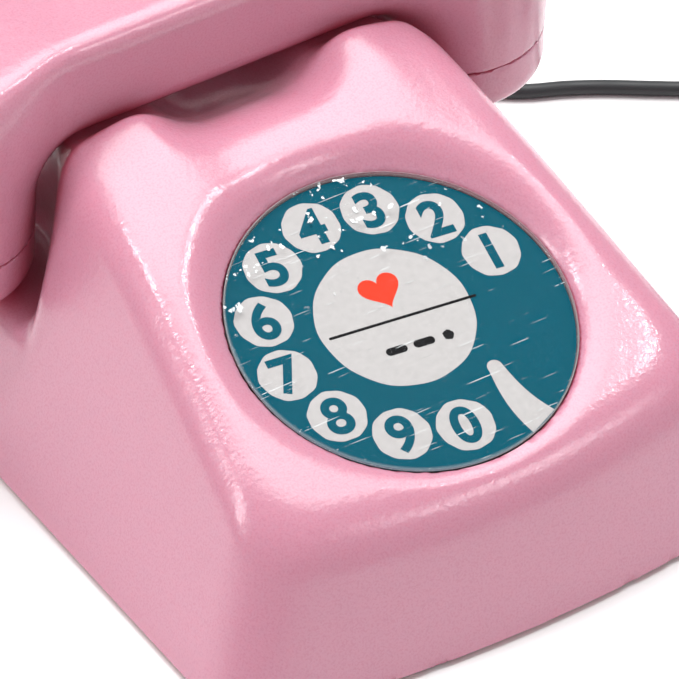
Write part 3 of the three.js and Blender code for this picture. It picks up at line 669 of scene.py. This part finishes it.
def sound_cap(side, holes):
    """The field of the cap under a cup: a shallow dish with a ring of sound holes and one in the
    middle.
    """
    middle = (side * CUP_X, HANDSET_Y)
    places = []
    for i in range(holes):
        turn = 2 * math.pi * i / holes
        places.append((middle[0] + SOUND_HOLES["ring"] * math.cos(turn),
                       middle[1] + SOUND_HOLES["ring"] * math.sin(turn)))
    places.append(middle)
    inset = 0.2
    floor = 2
    rim_softness = 6

    def cap(x, y, z):
        reach = np.sqrt((x - middle[0]) ** 2 + (y - middle[1]) ** 2)
        radius = settings().telephone_handset.cup_bottom - inset
        outer = smooth_max(reach - radius, CAP[0][2] - z, rim_softness)
        outer = np.maximum(outer, z - CAP[1][2])
        inner = np.maximum(reach - radius + WALL - inset, CAP[0][2] + floor - z)
        made = np.maximum(outer, -inner)
        for hole_x, hole_y in places:
            hole = np.sqrt((x - hole_x) ** 2 + (y - hole_y) ** 2) - SOUND_HOLES["radius"]
            made = carve(made, hole, SOUND_HOLES["edge"])
        return made

    return cap


# ---- the line cord ----
TABLE = 0.0018  # the cord's middle when it lies on the table
LEAD = [
    (0.030, 0.0815, 0.011), (0.030, 0.09, 0.011), (0.030, 0.10312, 0.011), (0.0306, 0.110, 0.0096),
    (0.034, 0.118, 0.0056), (0.042, 0.124, 0.0025), (0.053, 0.125, TABLE), (0.063, 0.120, TABLE),
    (0.071, 0.110, TABLE), (0.077, 0.098, TABLE), (0.082, 0.086, TABLE), (0.088, 0.076, TABLE),
    (0.0965, 0.0695, TABLE), (0.104, 0.066, TABLE), (0.1115, 0.0617, TABLE), (0.1195, 0.0562, TABLE),
    (0.128, 0.0504, TABLE), (0.139, 0.043, TABLE), (0.1504, 0.0354, TABLE), (0.1603, 0.0285, TABLE),
]
TAIL = [(0.149, -0.0266, TABLE), (0.143, -0.027, 0.0024), (0.137, -0.027, 0.0042),
        (0.131, -0.027, 0.0053), (0.1255, -0.027, 0.0055)]
COIL_MIDDLE = (0.155, 0.0)
COIL_MEAN = 0.019
COIL_ENTRY = 55  # degrees, where the lead runs on to the coil
COIL_EXIT = -90  # and where the tail leaves it


def smooth_step(middle, half, value):
    """From 0 to 1 over a stretch of twice half."""
    t = min(max((value - middle + half) / (2 * half), 0), 1)
    return t * t * (3 - 2 * t)


def coil_moves(cord):
    """When the cord steps over or climbs by one diameter, in turns from the start of the coil.

    A layer steps a fifth of a turn sooner than the one under it, and its last turn climbs halfway
    between, so that no turn runs through another.
    """
    moves = []
    when = 0.9
    step = -cord.diameter
    for _ in range(cord.turns_up - 1):
        for _ in range(cord.turns_out - 1):
            moves.append((when, step, 0))
            when += 1
        moves.append((when - 0.1, 0, cord.diameter))
        when += 0.8
        step = -step
    return moves, when


def coil_points(cord):
    """The cord's middle through its coil, from the table up and back down beside the turns."""
    moves, off = coil_moves(cord)
    outer = COIL_MEAN + cord.diameter * (cord.turns_out - 1) / 2
    beside = cord.diameter + 0.0003
    last = off + (COIL_ENTRY - COIL_EXIT) / 360 - 0.1
    fall = (cord.turns_up - 1) * cord.diameter
    points = []
    steps = 24
    for step in range(int(last * steps) + 1):
        turn = step / steps
        radius = outer + beside * (1 - smooth_step(0.1, 0.1, turn))
        radius += beside * smooth_step(off, 0.1, turn)
        height = TABLE - fall * smooth_step(off + 0.14, 0.16, turn)
        for when, out, up in moves:
            radius += out * smooth_step(when, 0.1, turn)
            height += up * smooth_step(when, 0.1, turn)
        angle = math.radians(COIL_ENTRY) - 2 * math.pi * turn
        points.append((COIL_MIDDLE[0] + radius * math.cos(angle),
                       COIL_MIDDLE[1] + radius * math.sin(angle), height))
    return points


def spline(points, steps=4):
    """A centripetal Catmull-Rom curve through the points."""
    spots = [Vector(p) for p in points]
    spots = [spots[0] * 2 - spots[1]] + spots + [spots[-1] * 2 - spots[-2]]
    made = []
    for p0, p1, p2, p3 in zip(spots, spots[1:], spots[2:], spots[3:]):
        t1 = (p1 - p0).length ** 0.5
        t2 = t1 + (p2 - p1).length ** 0.5
        t3 = t2 + (p3 - p2).length ** 0.5
        for k in range(steps):
            t = t1 + (t2 - t1) * k / steps
            a1 = p0 * ((t1 - t) / t1) + p1 * (t / t1)
            a2 = p1 * ((t2 - t) / (t2 - t1)) + p2 * ((t - t1) / (t2 - t1))
            a3 = p2 * ((t3 - t) / (t3 - t2)) + p3 * ((t - t2) / (t3 - t2))
            b1 = a1 * ((t2 - t) / t2) + a2 * (t / t2)
            b2 = a2 * ((t3 - t) / (t3 - t1)) + a3 * ((t - t1) / (t3 - t1))
            made.append(b1 * ((t2 - t) / (t2 - t1)) + b2 * ((t - t1) / (t2 - t1)))
    made.append(spots[-2])
    return made


# ---- placing ----
def place_in_dial():
    """From the dial's own millimetres to the frame's."""
    slope = settings().telephone_body.dial_slope
    return Matrix.Translation((0, DIAL["y"], DIAL["z"])) @ Matrix.Rotation(slope, 4, "X")


def along_y(x, y, z):
    """Stands a turned piece's axis along +Y at a place in mm."""
    return Matrix.Translation((x, y, z)) @ Matrix.Rotation(-math.pi / 2, 4, "X")


def at(x, y, z=0.0):
    return Matrix.Translation((x, y, z))


def settle_in(piece, body, slot, *nodes):
    """Gives a finished piece its body, and hides the CAD nodes that it stands for."""
    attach(piece, body)
    if nodes:
        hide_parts(*nodes)


def paint(finish, *nodes):
    """A CAD node whose shape is right keeps it, and gets its procedural finish."""
    for node in nodes:
        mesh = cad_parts[node].data
        mesh.materials.clear()
        mesh.materials.append(material(finish))


# ---- flat printed pieces on the dial's card ----
PRINT_TURN = math.radians(-5.8)  # the card's marks are a little turned from the body's upright
CARD_TOP = -1.7  # under the lens, in the dial's own mm
INK = 0.035  # one layer of ink over another, mm


def flat_piece(name, faces, layer, finish):
    """A thin plate of ink. faces are outlines of (right, up) in dial radii."""
    place = place_in_dial()
    vertices = []
    sides = []
    low = CARD_TOP + INK * (layer - 1) + 0.004
    high = CARD_TOP + INK * layer
    for outline in faces:
        start = len(vertices)
        count = len(outline)
        for level in (low, high):
            for right, up in outline:
                spot = Vector((right * DIAL_RADIUS, up * DIAL_RADIUS, level))
                vertices.append(tuple((place @ spot) * MM))
        sides.append([start + count + k for k in range(count)])
        sides.append([start + k for k in reversed(range(count))])
        for k in range(count):
            n = (k + 1) % count
            sides.append([start + k, start + n, start + count + n, start + count + k])
    mesh = bpy.data.meshes.new(name)
    mesh.from_pydata(vertices, [], sides)
    mesh.update()
    piece = link(name, mesh, material(finish))
    settle_in(piece, "phone_base", "printed_card")


def circle(middle, radius, steps=48):
    """A printed disc's outline, a little uneven as ink runs in card."""
    points = []
    for k in range(steps):
        turn = 2 * math.pi * k / steps
        uneven = math.sin(5 * turn + 9 * middle[0]) + math.sin(11 * turn + 7 * middle[1])
        reach = radius + 0.0018 * uneven
        points.append((middle[0] + reach * math.cos(turn), middle[1] + reach * math.sin(turn)))
    return points


def digit_mesh(digit, middle, size, layer):
    """A bold digit as a mesh, flat on the print at a place in dial radii."""
    boldness = 0.03
    words = bpy.data.curves.new("digit", "FONT")
    words.body = digit
    words.size = size * DIAL_RADIUS * MM
    words.offset = size * DIAL_RADIUS * MM * boldness
    words.extrude = INK * MM * 0.4
    words.align_x = "CENTER"
    words.resolution_u = 8
    holder = bpy.data.objects.new("digit", words)
    bpy.context.scene.collection.objects.link(holder)
    bpy.context.view_layer.update()
    seen = holder.evaluated_get(bpy.context.evaluated_depsgraph_get())
    mesh = bpy.data.meshes.new_from_object(seen)
    bpy.data.objects.remove(holder)
    spots = np.array([v.co for v in mesh.vertices])
    centre = (spots.min(0) + spots.max(0)) / 2
    centre[2] = 0
    mesh.transform(Matrix.Translation(-Vector(centre)))
    level = CARD_TOP + INK * (layer - 0.5)
    spot = Vector((middle[0] * DIAL_RADIUS * MM, middle[1] * DIAL_RADIUS * MM, 0))
    turn = Matrix.Rotation(PRINT_TURN, 4, "Z")
    place = place_in_dial()
    place.translation *= MM
    mesh.transform(place @ Matrix.Translation((0, 0, level * MM)) @ Matrix.Translation(spot) @ turn)
    return mesh


def join_meshes(name, meshes):
    vertices = []
    faces = []
    for mesh in meshes:
        start = len(vertices)
        vertices += [tuple(v.co) for v in mesh.vertices]
        faces += [[start + i for i in p.vertices] for p in mesh.polygons]
    made = bpy.data.meshes.new(name)
    made.from_pydata(vertices, [], faces)
    made.update()
    return made


def heart(middle, size, steps=40):
    """The outline of a small heart."""
    points = []
    for k in range(steps):
        t = 2 * math.pi * k / steps
        right = 16 * math.sin(t) ** 3
        up = 13 * math.cos(t) - 5 * math.cos(2 * t) - 2 * math.cos(3 * t) - math.cos(4 * t)
        points.append((middle[0] - right * size / 16, middle[1] + up * size / 16))
    return points


def bar(start, end, width_start, width_end=None, steps=10):
    """A stroke with round ends between two places."""
    width_end = width_start if width_end is None else width_end
    lean = math.degrees(math.atan2(end[1] - start[1], end[0] - start[0]))
    tip = arc(end, width_end / 2, lean - 90, lean + 90, steps)
    return tip + arc(start, width_start / 2, lean + 90, lean + 270, steps)


# ---- screws by Geometry Nodes ----
def screw_tree():
    """A node tree that stands a slotted screw on each point of a mesh: a rounded head on a shank,
    with a slot cut across it.
    """
    tree = bpy.data.node_groups.new("slotted_screws", "GeometryNodeTree")
    face = tree.interface
    face.new_socket("Geometry", in_out="INPUT", socket_type="NodeSocketGeometry")
    for name in ("Head radius", "Head height", "Shank radius", "Shank length", "Slot width",
                 "Tip up"):
        face.new_socket(name, in_out="INPUT", socket_type="NodeSocketFloat")
    face.new_socket("Material", in_out="INPUT", socket_type="NodeSocketMaterial")
    face.new_socket("Geometry", in_out="OUTPUT", socket_type="NodeSocketGeometry")
    given = tree.nodes.new("NodeGroupInput").outputs
    result = tree.nodes.new("NodeGroupOutput")

    def maths(operation, a, b):
        return add(tree, "ShaderNodeMath", {0: a, 1: b}, operation=operation).outputs[0]

    def lift(geometry, height):
        offset = add(tree, "ShaderNodeCombineXYZ", {"Z": height}).outputs[0]
        moved = add(tree, "GeometryNodeTransform", {"Geometry": geometry, "Translation": offset})
        return moved.outputs[0]

    skirt_height = maths("MULTIPLY", given["Head height"], 0.55)
    skirt = add(tree, "GeometryNodeMeshCylinder", {"Vertices": 32, "Radius": given["Head radius"],
                "Depth": skirt_height}).outputs["Mesh"]
    skirt = lift(skirt, maths("MULTIPLY", skirt_height, 0.5))
    crown_height = maths("MULTIPLY", given["Head height"], 0.45)
    crown = add(tree, "GeometryNodeMeshCone", {"Vertices": 32, "Radius Bottom": given["Head radius"],
                "Radius Top": maths("MULTIPLY", given["Head radius"], 0.72),
                "Depth": crown_height}).outputs["Mesh"]
    crown = lift(crown, skirt_height)
    shank = add(tree, "GeometryNodeMeshCylinder", {"Vertices": 20, "Radius": given["Shank radius"],
                "Depth": given["Shank length"]}).outputs["Mesh"]
    shank = lift(shank, maths("MULTIPLY", given["Shank length"], -0.498))
    solid = add(tree, "GeometryNodeMeshBoolean", operation="UNION")
    for part in (skirt, crown, shank):
        tree.links.new(part, solid.inputs["Mesh 2"])
    slot_size = add(tree, "ShaderNodeCombineXYZ", {"X": maths("MULTIPLY", given["Head radius"], 2.4),
                    "Y": given["Slot width"], "Z": given["Head height"]}).outputs[0]
    slot = add(tree, "GeometryNodeMeshCube", {"Size": slot_size}).outputs["Mesh"]
    slot = lift(slot, given["Head height"])
    cut = add(tree, "GeometryNodeMeshBoolean", {"Mesh 1": solid.outputs["Mesh"]},
              operation="DIFFERENCE")
    tree.links.new(slot, cut.inputs["Mesh 2"])
    tilt = maths("MULTIPLY", maths("SUBTRACT", 1.0, given["Tip up"]), math.pi)
    lean = add(tree, "ShaderNodeCombineXYZ", {"X": tilt}).outputs[0]
    turned = add(tree, "GeometryNodeTransform", {"Geometry": cut.outputs["Mesh"],
                 "Rotation": lean}).outputs[0]
    spin = add(tree, "FunctionNodeRandomValue", {"Min": 0.0, "Max": 3.1, "Seed": 7},
               data_type="FLOAT")
    spin_vector = add(tree, "ShaderNodeCombineXYZ", {"Z": spin.outputs[1]}).outputs[0]
    stood = add(tree, "GeometryNodeInstanceOnPoints", {"Points": given["Geometry"], "Instance": turned,
                "Rotation": spin_vector})
    real = add(tree, "GeometryNodeRealizeInstances", {"Geometry": stood.outputs["Instances"]})
    done = add(tree, "GeometryNodeSetMaterial", {"Geometry": real.outputs["Geometry"],
               "Material": given["Material"]})
    tree.links.new(done.outputs["Geometry"], result.inputs["Geometry"])
    return tree


def screws(name, places, finish, head, head_height, shank, length, face_up):
    """Slotted screws at places in mm, each with the underside of its head there."""
    tree = bpy.data.node_groups.get("slotted_screws") or screw_tree()
    points = bpy.data.meshes.new(name)
    points.from_pydata([tuple(c * MM for c in place) for place in places], [], [])
    holder = link(name, points, material(finish))
    modifier = holder.modifiers.new("screws", "NODES")
    modifier.node_group = tree
    sizes = {"Head radius": head * MM, "Head height": head_height * MM, "Shank radius": shank * MM,
             "Shank length": length * MM, "Slot width": head * 0.32 * MM,
             "Tip up": 1.0 if face_up else 0.0, "Material": material(finish)}
    for item in tree.interface.items_tree:
        if item.in_out == "INPUT" and item.name in sizes:
            modifier[item.identifier] = sizes[item.name]
    bpy.context.view_layer.update()
    seen = holder.evaluated_get(bpy.context.evaluated_depsgraph_get())
    mesh = bpy.data.meshes.new_from_object(seen)
    holder.modifiers.remove(modifier)
    holder.data = mesh
    if not mesh.materials:
        mesh.materials.append(material(finish))
    if len(mesh.polygons) < 20:
        raise RuntimeError(f"{name}: the screws came out empty")
    finish_mesh(mesh, 30)
    return holder


# ---- operators ----
class TELEPHONE_OT_stage(bpy.types.Operator):
    """Stands the camera, the table and the soft lights round the telephone"""

    bl_idname = "telephone.stage"
    bl_label = "Stage"

    def execute(self, context):
        stage = context.scene.telephone_stage
        self.camera(context, stage)
        self.table()
        self.lights(context)
        return {"FINISHED"}

    def camera(self, context, stage):
        az = stage.azimuth
        el = stage.elevation
        back = Vector((-math.sin(az) * math.cos(el), -math.cos(az) * math.cos(el), math.sin(el)))
        up = Vector((math.sin(az) * math.sin(el), math.cos(az) * math.sin(el), math.cos(el)))
        right = Vector((math.cos(az), -math.sin(az), 0))
        dial = Vector((0, DIAL["y"], DIAL["z"])) * MM
        data = bpy.data.cameras.new("camera")
        data.lens = stage.lens
        data.sensor_width = 36
        data.clip_start = 0.1
        data.clip_end = 20
        camera = bpy.data.objects.new("camera", data)
        turn = Matrix((right, up, back)).transposed().to_4x4()
        place = dial + back * stage.distance + right * stage.aim_right + up * stage.aim_up
        camera.matrix_world = Matrix.Translation(place) @ turn
        context.scene.collection.objects.link(camera)
        context.scene.camera = camera

    def table(self):
        half = 3.0
        mesh = bpy.data.meshes.new("table")
        mesh.from_pydata([(-half, -half, 0), (half, -half, 0), (half, half, 0), (-half, half, 0)], [],
                         [(0, 1, 2, 3)])
        table = link("table", mesh, pale_table())

    def lights(self, context):
        world = bpy.data.worlds.new("studio")
        world.use_nodes = True
        sky = world.node_tree.nodes["Background"]
        sky.inputs["Color"].default_value = (1, 1, 1, 1)
        sky.inputs["Strength"].default_value = 0.5
        context.scene.world = world
        context.scene.view_settings.view_transform = "Standard"
        self.light(context, "overhead", (0.25, 0.5, 1.5), (1.3, 1.3), 26)
        self.light(context, "left_rear", (-1.3, 0.3, 1.0), (0.2, 0.9), 6)
        self.light(context, "lip_strip", (0.65, -1.0, 1.05), (0.5, 0.1), 2.0)
        self.light(context, "sparkle_left", (-0.5, 0.35, 1.2), (0.1, 0.1), 2.2)
        self.light(context, "sparkle_right", (0.75, -0.05, 1.2), (0.1, 0.1), 2.2)

    def light(self, context, name, place, size, power):
        data = bpy.data.lights.new(name, "AREA")
        data.shape = "RECTANGLE"
        data.size = size[0]
        data.size_y = size[1]
        data.energy = power
        lamp = bpy.data.objects.new(name, data)
        aim = Vector((0, 0, 0.05)) - Vector(place)
        turn = aim.to_track_quat("-Z", "Y").to_matrix().to_4x4()
        lamp.matrix_world = Matrix.Translation(place) @ turn
        context.scene.collection.objects.link(lamp)


class TELEPHONE_OT_line_cord(bpy.types.Operator):
    """Lays the line cord from the rear wall to its coil and plug"""

    bl_idname = "telephone.line_cord"
    bl_label = "Line cord"

    def execute(self, context):
        cord = context.scene.telephone_cord
        points = spline(LEAD + coil_points(cord) + TAIL, 3)
        curve = bpy.data.curves.new("line_cord", "CURVE")
        curve.dimensions = "3D"
        curve.bevel_depth = cord.diameter / 2
        curve.bevel_resolution = 3
        curve.use_fill_caps = True
        line = curve.splines.new("POLY")
        line.points.add(len(points) - 1)
        for spot, place in zip(line.points, points):
            spot.co = (*place, 1)
        line.use_smooth = True
        piece = bpy.data.objects.new("line_cord", curve)
        context.scene.collection.objects.link(piece)
        curve.materials.append(material("black_pvc"))
        relief = self.relief()
        plug = self.plug()
        settle_in(piece, "phone_base", "black_plastic", "line_cord_lead", "line_cord_coil",
                  "line_cord_tail")
        return {"FINISHED"}

    def relief(self):
        """The moulded strain relief: a flange on the wall and a tapering, ribbed tail."""
        low, high = box_mm("cord_strain_relief")
        middle = (low + high) / 2
        bore = 1.75
        inner = low[1] + 2
        wall = WALL + 0.4 + GAP
        outline = [(bore, -2), (5.2, -2), (5.6, -1.6), (5.6, -GAP), (3.4, -GAP), (3.4, wall),
                   (5.6, wall), (5.6, wall + 0.9), (5.2, wall + 1.4), (4.0, wall + 1.8)]
        ribs = 7
        length = high[1] - inner - wall - 2.6
        for k in range(ribs):
            start = wall + 2.2 + length * k / ribs
            radius = 4.0 - 1.4 * k / ribs
            outline += [(radius, start), (radius, start + length / ribs * 0.55),
                        (radius - 0.7, start + length / ribs * 0.65),
                        (radius - 0.75, start + length / ribs * 0.9)]
        end = high[1] - inner
        outline += [(2.5, end - 0.6), (2.2, end), (bore, end)]
        mesh = lathe_mesh("strain_relief", outline, along_y(middle[0], inner, middle[2]), 32)
        piece = link("strain_relief", mesh, material("black_pvc"))
        settle_in(piece, "phone_base", "black_rubber", "cord_strain_relief")
        return piece

    def plug(self):
        """The moulded wall plug and its four brass pins, which keep their CAD shape."""
        paint("black_abs", "line_plug")
        pins = [f"plug_pin_{i}" for i in range(1, 5)]
        paint("brass", *pins)
        return [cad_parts[n] for n in ["line_plug"] + pins]


class TELEPHONE_OT_housing(bpy.types.Operator):
    """Moulds the body's shell with its dish, horns and cradle"""

    bl_idname = "telephone.housing"
    bl_label = "Housing"

    def execute(self, context):
        step = context.scene.telephone_body.voxel
        mesh = field_mesh("body_shell", body_shell, HOUSING[0], HOUSING[1], step)
        piece = link("body_shell", mesh, material("pink"))
        settle_in(piece, "phone_base", "pink_shell", "housing")
        return {"FINISHED"}


class TELEPHONE_OT_handset(bpy.types.Operator):
    """Moulds the handset's shell and the two caps with their sound holes"""

    bl_idname = "telephone.handset"
    bl_label = "Handset"

    def execute(self, context):
        step = context.scene.telephone_handset.voxel
        mesh = field_mesh("handset_body", handset_shell, SHELL[0], SHELL[1], step)
        piece = link("handset_body", mesh, material("pink"))
        settle_in(piece, "handset", "pink_shell", "handset_shell")
        cap_voxel = 0.55
        for side, word, holes in ((-1, "transmitter", 6), (1, "receiver", 8)):
            node = f"{word}_cap"
            low, high = box_mm(node)
            mesh = field_mesh(f"{word}_sound_cap", sound_cap(side, holes), low, high, cap_voxel)
            piece = link(f"{word}_sound_cap", mesh, material("pink"))
            settle_in(piece, "handset", "pink_shell", node)
            paint("aluminium", f"{word}_capsule")
        paint("rubber", "handset_cord_inlet")
        return {"FINISHED"}


class TELEPHONE_OT_dial(bpy.types.Operator):
    """Makes the dial's card, its clear cover and its carrier"""

    bl_idname = "telephone.dial"
    bl_label = "Dial"

    def execute(self, context):
        r = DIAL_RADIUS
        card = [(0, CARD_TOP - 0.3), (r - 0.5, CARD_TOP - 0.3), (r - 0.4, CARD_TOP - 0.2),
                (r - 0.4, CARD_TOP), (0, CARD_TOP)]
        piece = link("dial_print", lathe_mesh("dial_print", card, place_in_dial(), 128),
                     material("teal_ink"))
        settle_in(piece, "phone_base", "printed_card", "dial_card")
        groove = r * 0.95
        cover = [(0, -1.4), (r - 0.25, -1.4), (r, -1.15), (r, -0.45), (r - 0.5, -0.08), (r - 0.9, 0),
                 (groove + 0.25, 0), (groove, -0.22), (groove - 0.3, 0), (0, 0)]
        piece = link("dial_cover", lathe_mesh("dial_cover", cover, place_in_dial(), 160),
                     material("cover"))
        settle_in(piece, "phone_base", "clear_lens", "dial_lens")
        paint("black_abs", "dial_carrier")
        paint("steel", "dial_nut")
        return {"FINISHED"}


class TELEPHONE_OT_dial_marks(bpy.types.Operator):
    """Prints the digits, the white centre and the finger stop on the dial's card"""

    bl_idname = "telephone.dial_marks"
    bl_label = "Dial marks"

    def execute(self, context):
        digits = "1234567890"
        ring = 0.755
        first = 14
        apart = 28.3
        spots = []
        for i in range(len(digits)):
            angle = math.radians(first + apart * i)
            spots.append((ring * math.cos(angle) - 0.012, ring * math.sin(angle) + 0.015))
        flat_piece("digit_discs", [circle(spot, 0.168) for spot in spots], 1, "white_card")
        meshes = [digit_mesh(digit, spot, 0.325, 2) for digit, spot in zip(digits, spots)]
        piece = link("digits", join_meshes("digits", meshes), material("teal_ink"))
        settle_in(piece, "phone_base", "printed_card")
        flat_piece("centre_disc", [circle((-0.012, 0.045), 0.46, 96)], 1, "white_card")
        flat_piece("centre_rule", [bar((-0.42, 0.07), (0.475, -0.022), 0.017)], 2, "black_ink")
        flat_piece("heart_mark", [heart((0.01, 0.235), 0.125)], 2, "red_ink")
        thick = 0.05
        dashes = [bar(self.below(left), self.below(left + 0.08), thick) for left in (-0.17, 0.0)]
        dashes.append(circle(self.below(0.19), 0.032))
        flat_piece("dash_marks", dashes, 2, "black_ink")
        flat_piece("finger_stop_mark", [self.stop()], 1, "white_card")
        return {"FINISHED"}

    def below(self, right):
        """A place on the line under the rule."""
        return right + 0.01, -0.165 + right * math.tan(PRINT_TURN)

    def stop(self):
        """A stroke that widens from a round tip to the card's edge."""
        start = Vector((0.325, -0.48))
        end = Vector((0.43, -1.0))
        bow = 0.04
        half_tip = 0.046
        flare = 0.072
        edge = 0.988
        steps = 20
        along = (end - start).normalized()
        across = Vector((-along.y, along.x))
        sides = []
        for side in (-1, 1):
            line = []
            for k in range(steps + 1):
                run = k / steps
                sag = bow * math.sin(math.pi * run)
                spot = start.lerp(end, run) + across * (side * (half_tip + flare * run) - sag)
                reach = spot.length
                line.append(tuple(spot if reach < edge else spot * (edge / reach)))
                if reach >= edge:
                    break
            sides.append(line)
        lean = math.degrees(math.atan2(along.y, along.x))
        tip = arc(start, half_tip, lean + 100, lean + 260, 8)
        return sides[0][::-1] + tip[::-1] + sides[1]


class TELEPHONE_OT_base(bpy.types.Operator):
    """Closes the body with its plate, feet and screws, and blanks the handset cord's hole"""

    bl_idname = "telephone.base"
    bl_label = "Base"

    def execute(self, context):
        paint("black_abs", "base_plate")
        words = ("front_left", "front_right", "rear_right", "rear_left")
        for word in words:
            self.foot(word)
        heads = [tuple(centre_mm(f"base_screw_{word}")) for word in words]
        low, high = box_mm("base_screw_front_left")
        head = 1.1
        length = high[2] - low[2] - head
        places = [(x, y, low[2] + head) for x, y, _ in heads]
        piece = screws("base_screws", places, "steel", 3.0, head, 1.4, length, False)
        settle_in(piece, "phone_base", "plated_steel", *[f"base_screw_{word}" for word in words])
        self.grommet()
        return {"FINISHED"}

    def foot(self, word):
        """A rubber foot with a soft edge and a shallow cup in its tread."""
        node = f"foot_{word}"
        low, high = box_mm(node)
        x, y, _ = (low + high) / 2
        top = high[2]
        outline = [(0, 0.35), (3.6, 0.35), (4.0, 0), (5.5, 0), (5.9, 0.15), (6.05, 0.5), (6.5, top),
                   (0, top)]
        piece = link(f"rubber_{node}", lathe_mesh(node, outline, at(x, y), 40), material("rubber"))
        settle_in(piece, "phone_base", "black_rubber", node)

    def grommet(self):
        """The blank grommet in the rear wall, where a coiled handset cord would come out."""
        node = "handset_cord_grommet"
        low, high = box_mm(node)
        x, _, z = (low + high) / 2
        inner = low[1] + 2
        wall = WALL + 0.4 + GAP
        end = high[1] - inner
        outline = [(0, -1.2), (5.2, -1.8), (5.6, -1.4), (5.6, -GAP), (3.4, -GAP), (3.4, wall),
                   (5.6, wall), (5.6, wall + 0.5), (5.2, end), (3.2, end), (2.6, end - 0.6),
                   (0, end - 0.6)]
        piece = link("rear_grommet", lathe_mesh("rear_grommet", outline, along_y(x, inner, z), 40),
                     material("rubber"))
        settle_in(piece, "phone_base", "black_rubber", node)


class TELEPHONE_OT_works(bpy.types.Operator):
    """Finishes the hook switch, ringer and network inside the body"""

    bl_idname = "telephone.works"
    bl_label = "Inner works"

    def execute(self, context):
        paint("black_abs", "hook_plunger_left", "hook_plunger_right", "contact_block")
        paint("steel", "plunger_spring_left", "plunger_spring_right", "hook_bracket", "hook_lever",
              "lever_pin", "gong_post_left", "gong_post_right", "ringer_frame", "ringer_core",
              "ringer_clapper", "induction_coil_core")
        paint("brass", "contact_spring_moving", "contact_spring_fixed", "gong_left", "gong_right")
        paint("wire", "ringer_coil", "induction_coil_winding")
        paint("phenolic", "network_board")
        paint("aluminium", "capacitor")
        nodes = [f"terminal_screw_{i}" for i in range(1, 5)]
        low, high = box_mm(nodes[0])
        head = 1.5
        length = high[2] - head - low[2]
        places = [(*centre_mm(node)[:2], high[2] - head) for node in nodes]
        piece = screws("terminal_screws", places, "brass", 2.2, head, 0.9, length, True)
        settle_in(piece, "phone_base", "brass", *nodes)
        return {"FINISHED"}


class TELEPHONE_PT_panel(bpy.types.Panel):
    """Sizes and colours of the telephone, and a button for each of its steps"""

    bl_idname = "TELEPHONE_PT_panel"
    bl_label = "Telephone"
    bl_space_type = "VIEW_3D"
    bl_region_type = "UI"
    bl_category = "Telephone"

    def draw(self, context):
        for group in GROUPS:
            held = getattr(context.scene, group)
            for name in held.__annotations__:
                self.layout.prop(held, name)
        for step in STEPS:
            self.layout.operator(step.bl_idname)


GROUPS = {"telephone_stage": StageSettings, "telephone_body": BodySettings,
          "telephone_handset": HandsetSettings, "telephone_finish": FinishSettings,
          "telephone_cord": CordSettings}
STEPS = (TELEPHONE_OT_stage, TELEPHONE_OT_line_cord, TELEPHONE_OT_housing, TELEPHONE_OT_handset,
         TELEPHONE_OT_dial, TELEPHONE_OT_dial_marks, TELEPHONE_OT_base, TELEPHONE_OT_works)


def register():
    for group, kind in GROUPS.items():
        bpy.utils.register_class(kind)
        setattr(bpy.types.Scene, group, PointerProperty(type=kind))
    for kind in (*STEPS, TELEPHONE_PT_panel):
        bpy.utils.register_class(kind)


def unregister():
    for kind in (TELEPHONE_PT_panel, *reversed(STEPS)):
        bpy.utils.unregister_class(kind)
    for group, kind in reversed(GROUPS.items()):
        delattr(bpy.types.Scene, group)
        bpy.utils.unregister_class(kind)


def main():
    register()
    for step in STEPS:
        family, name = step.bl_idname.split(".")
        if getattr(getattr(bpy.ops, family), name)() != {"FINISHED"}:
            raise RuntimeError(f"{step.bl_label}: the step didn't finish")


if __name__ == "__main__":
    main()
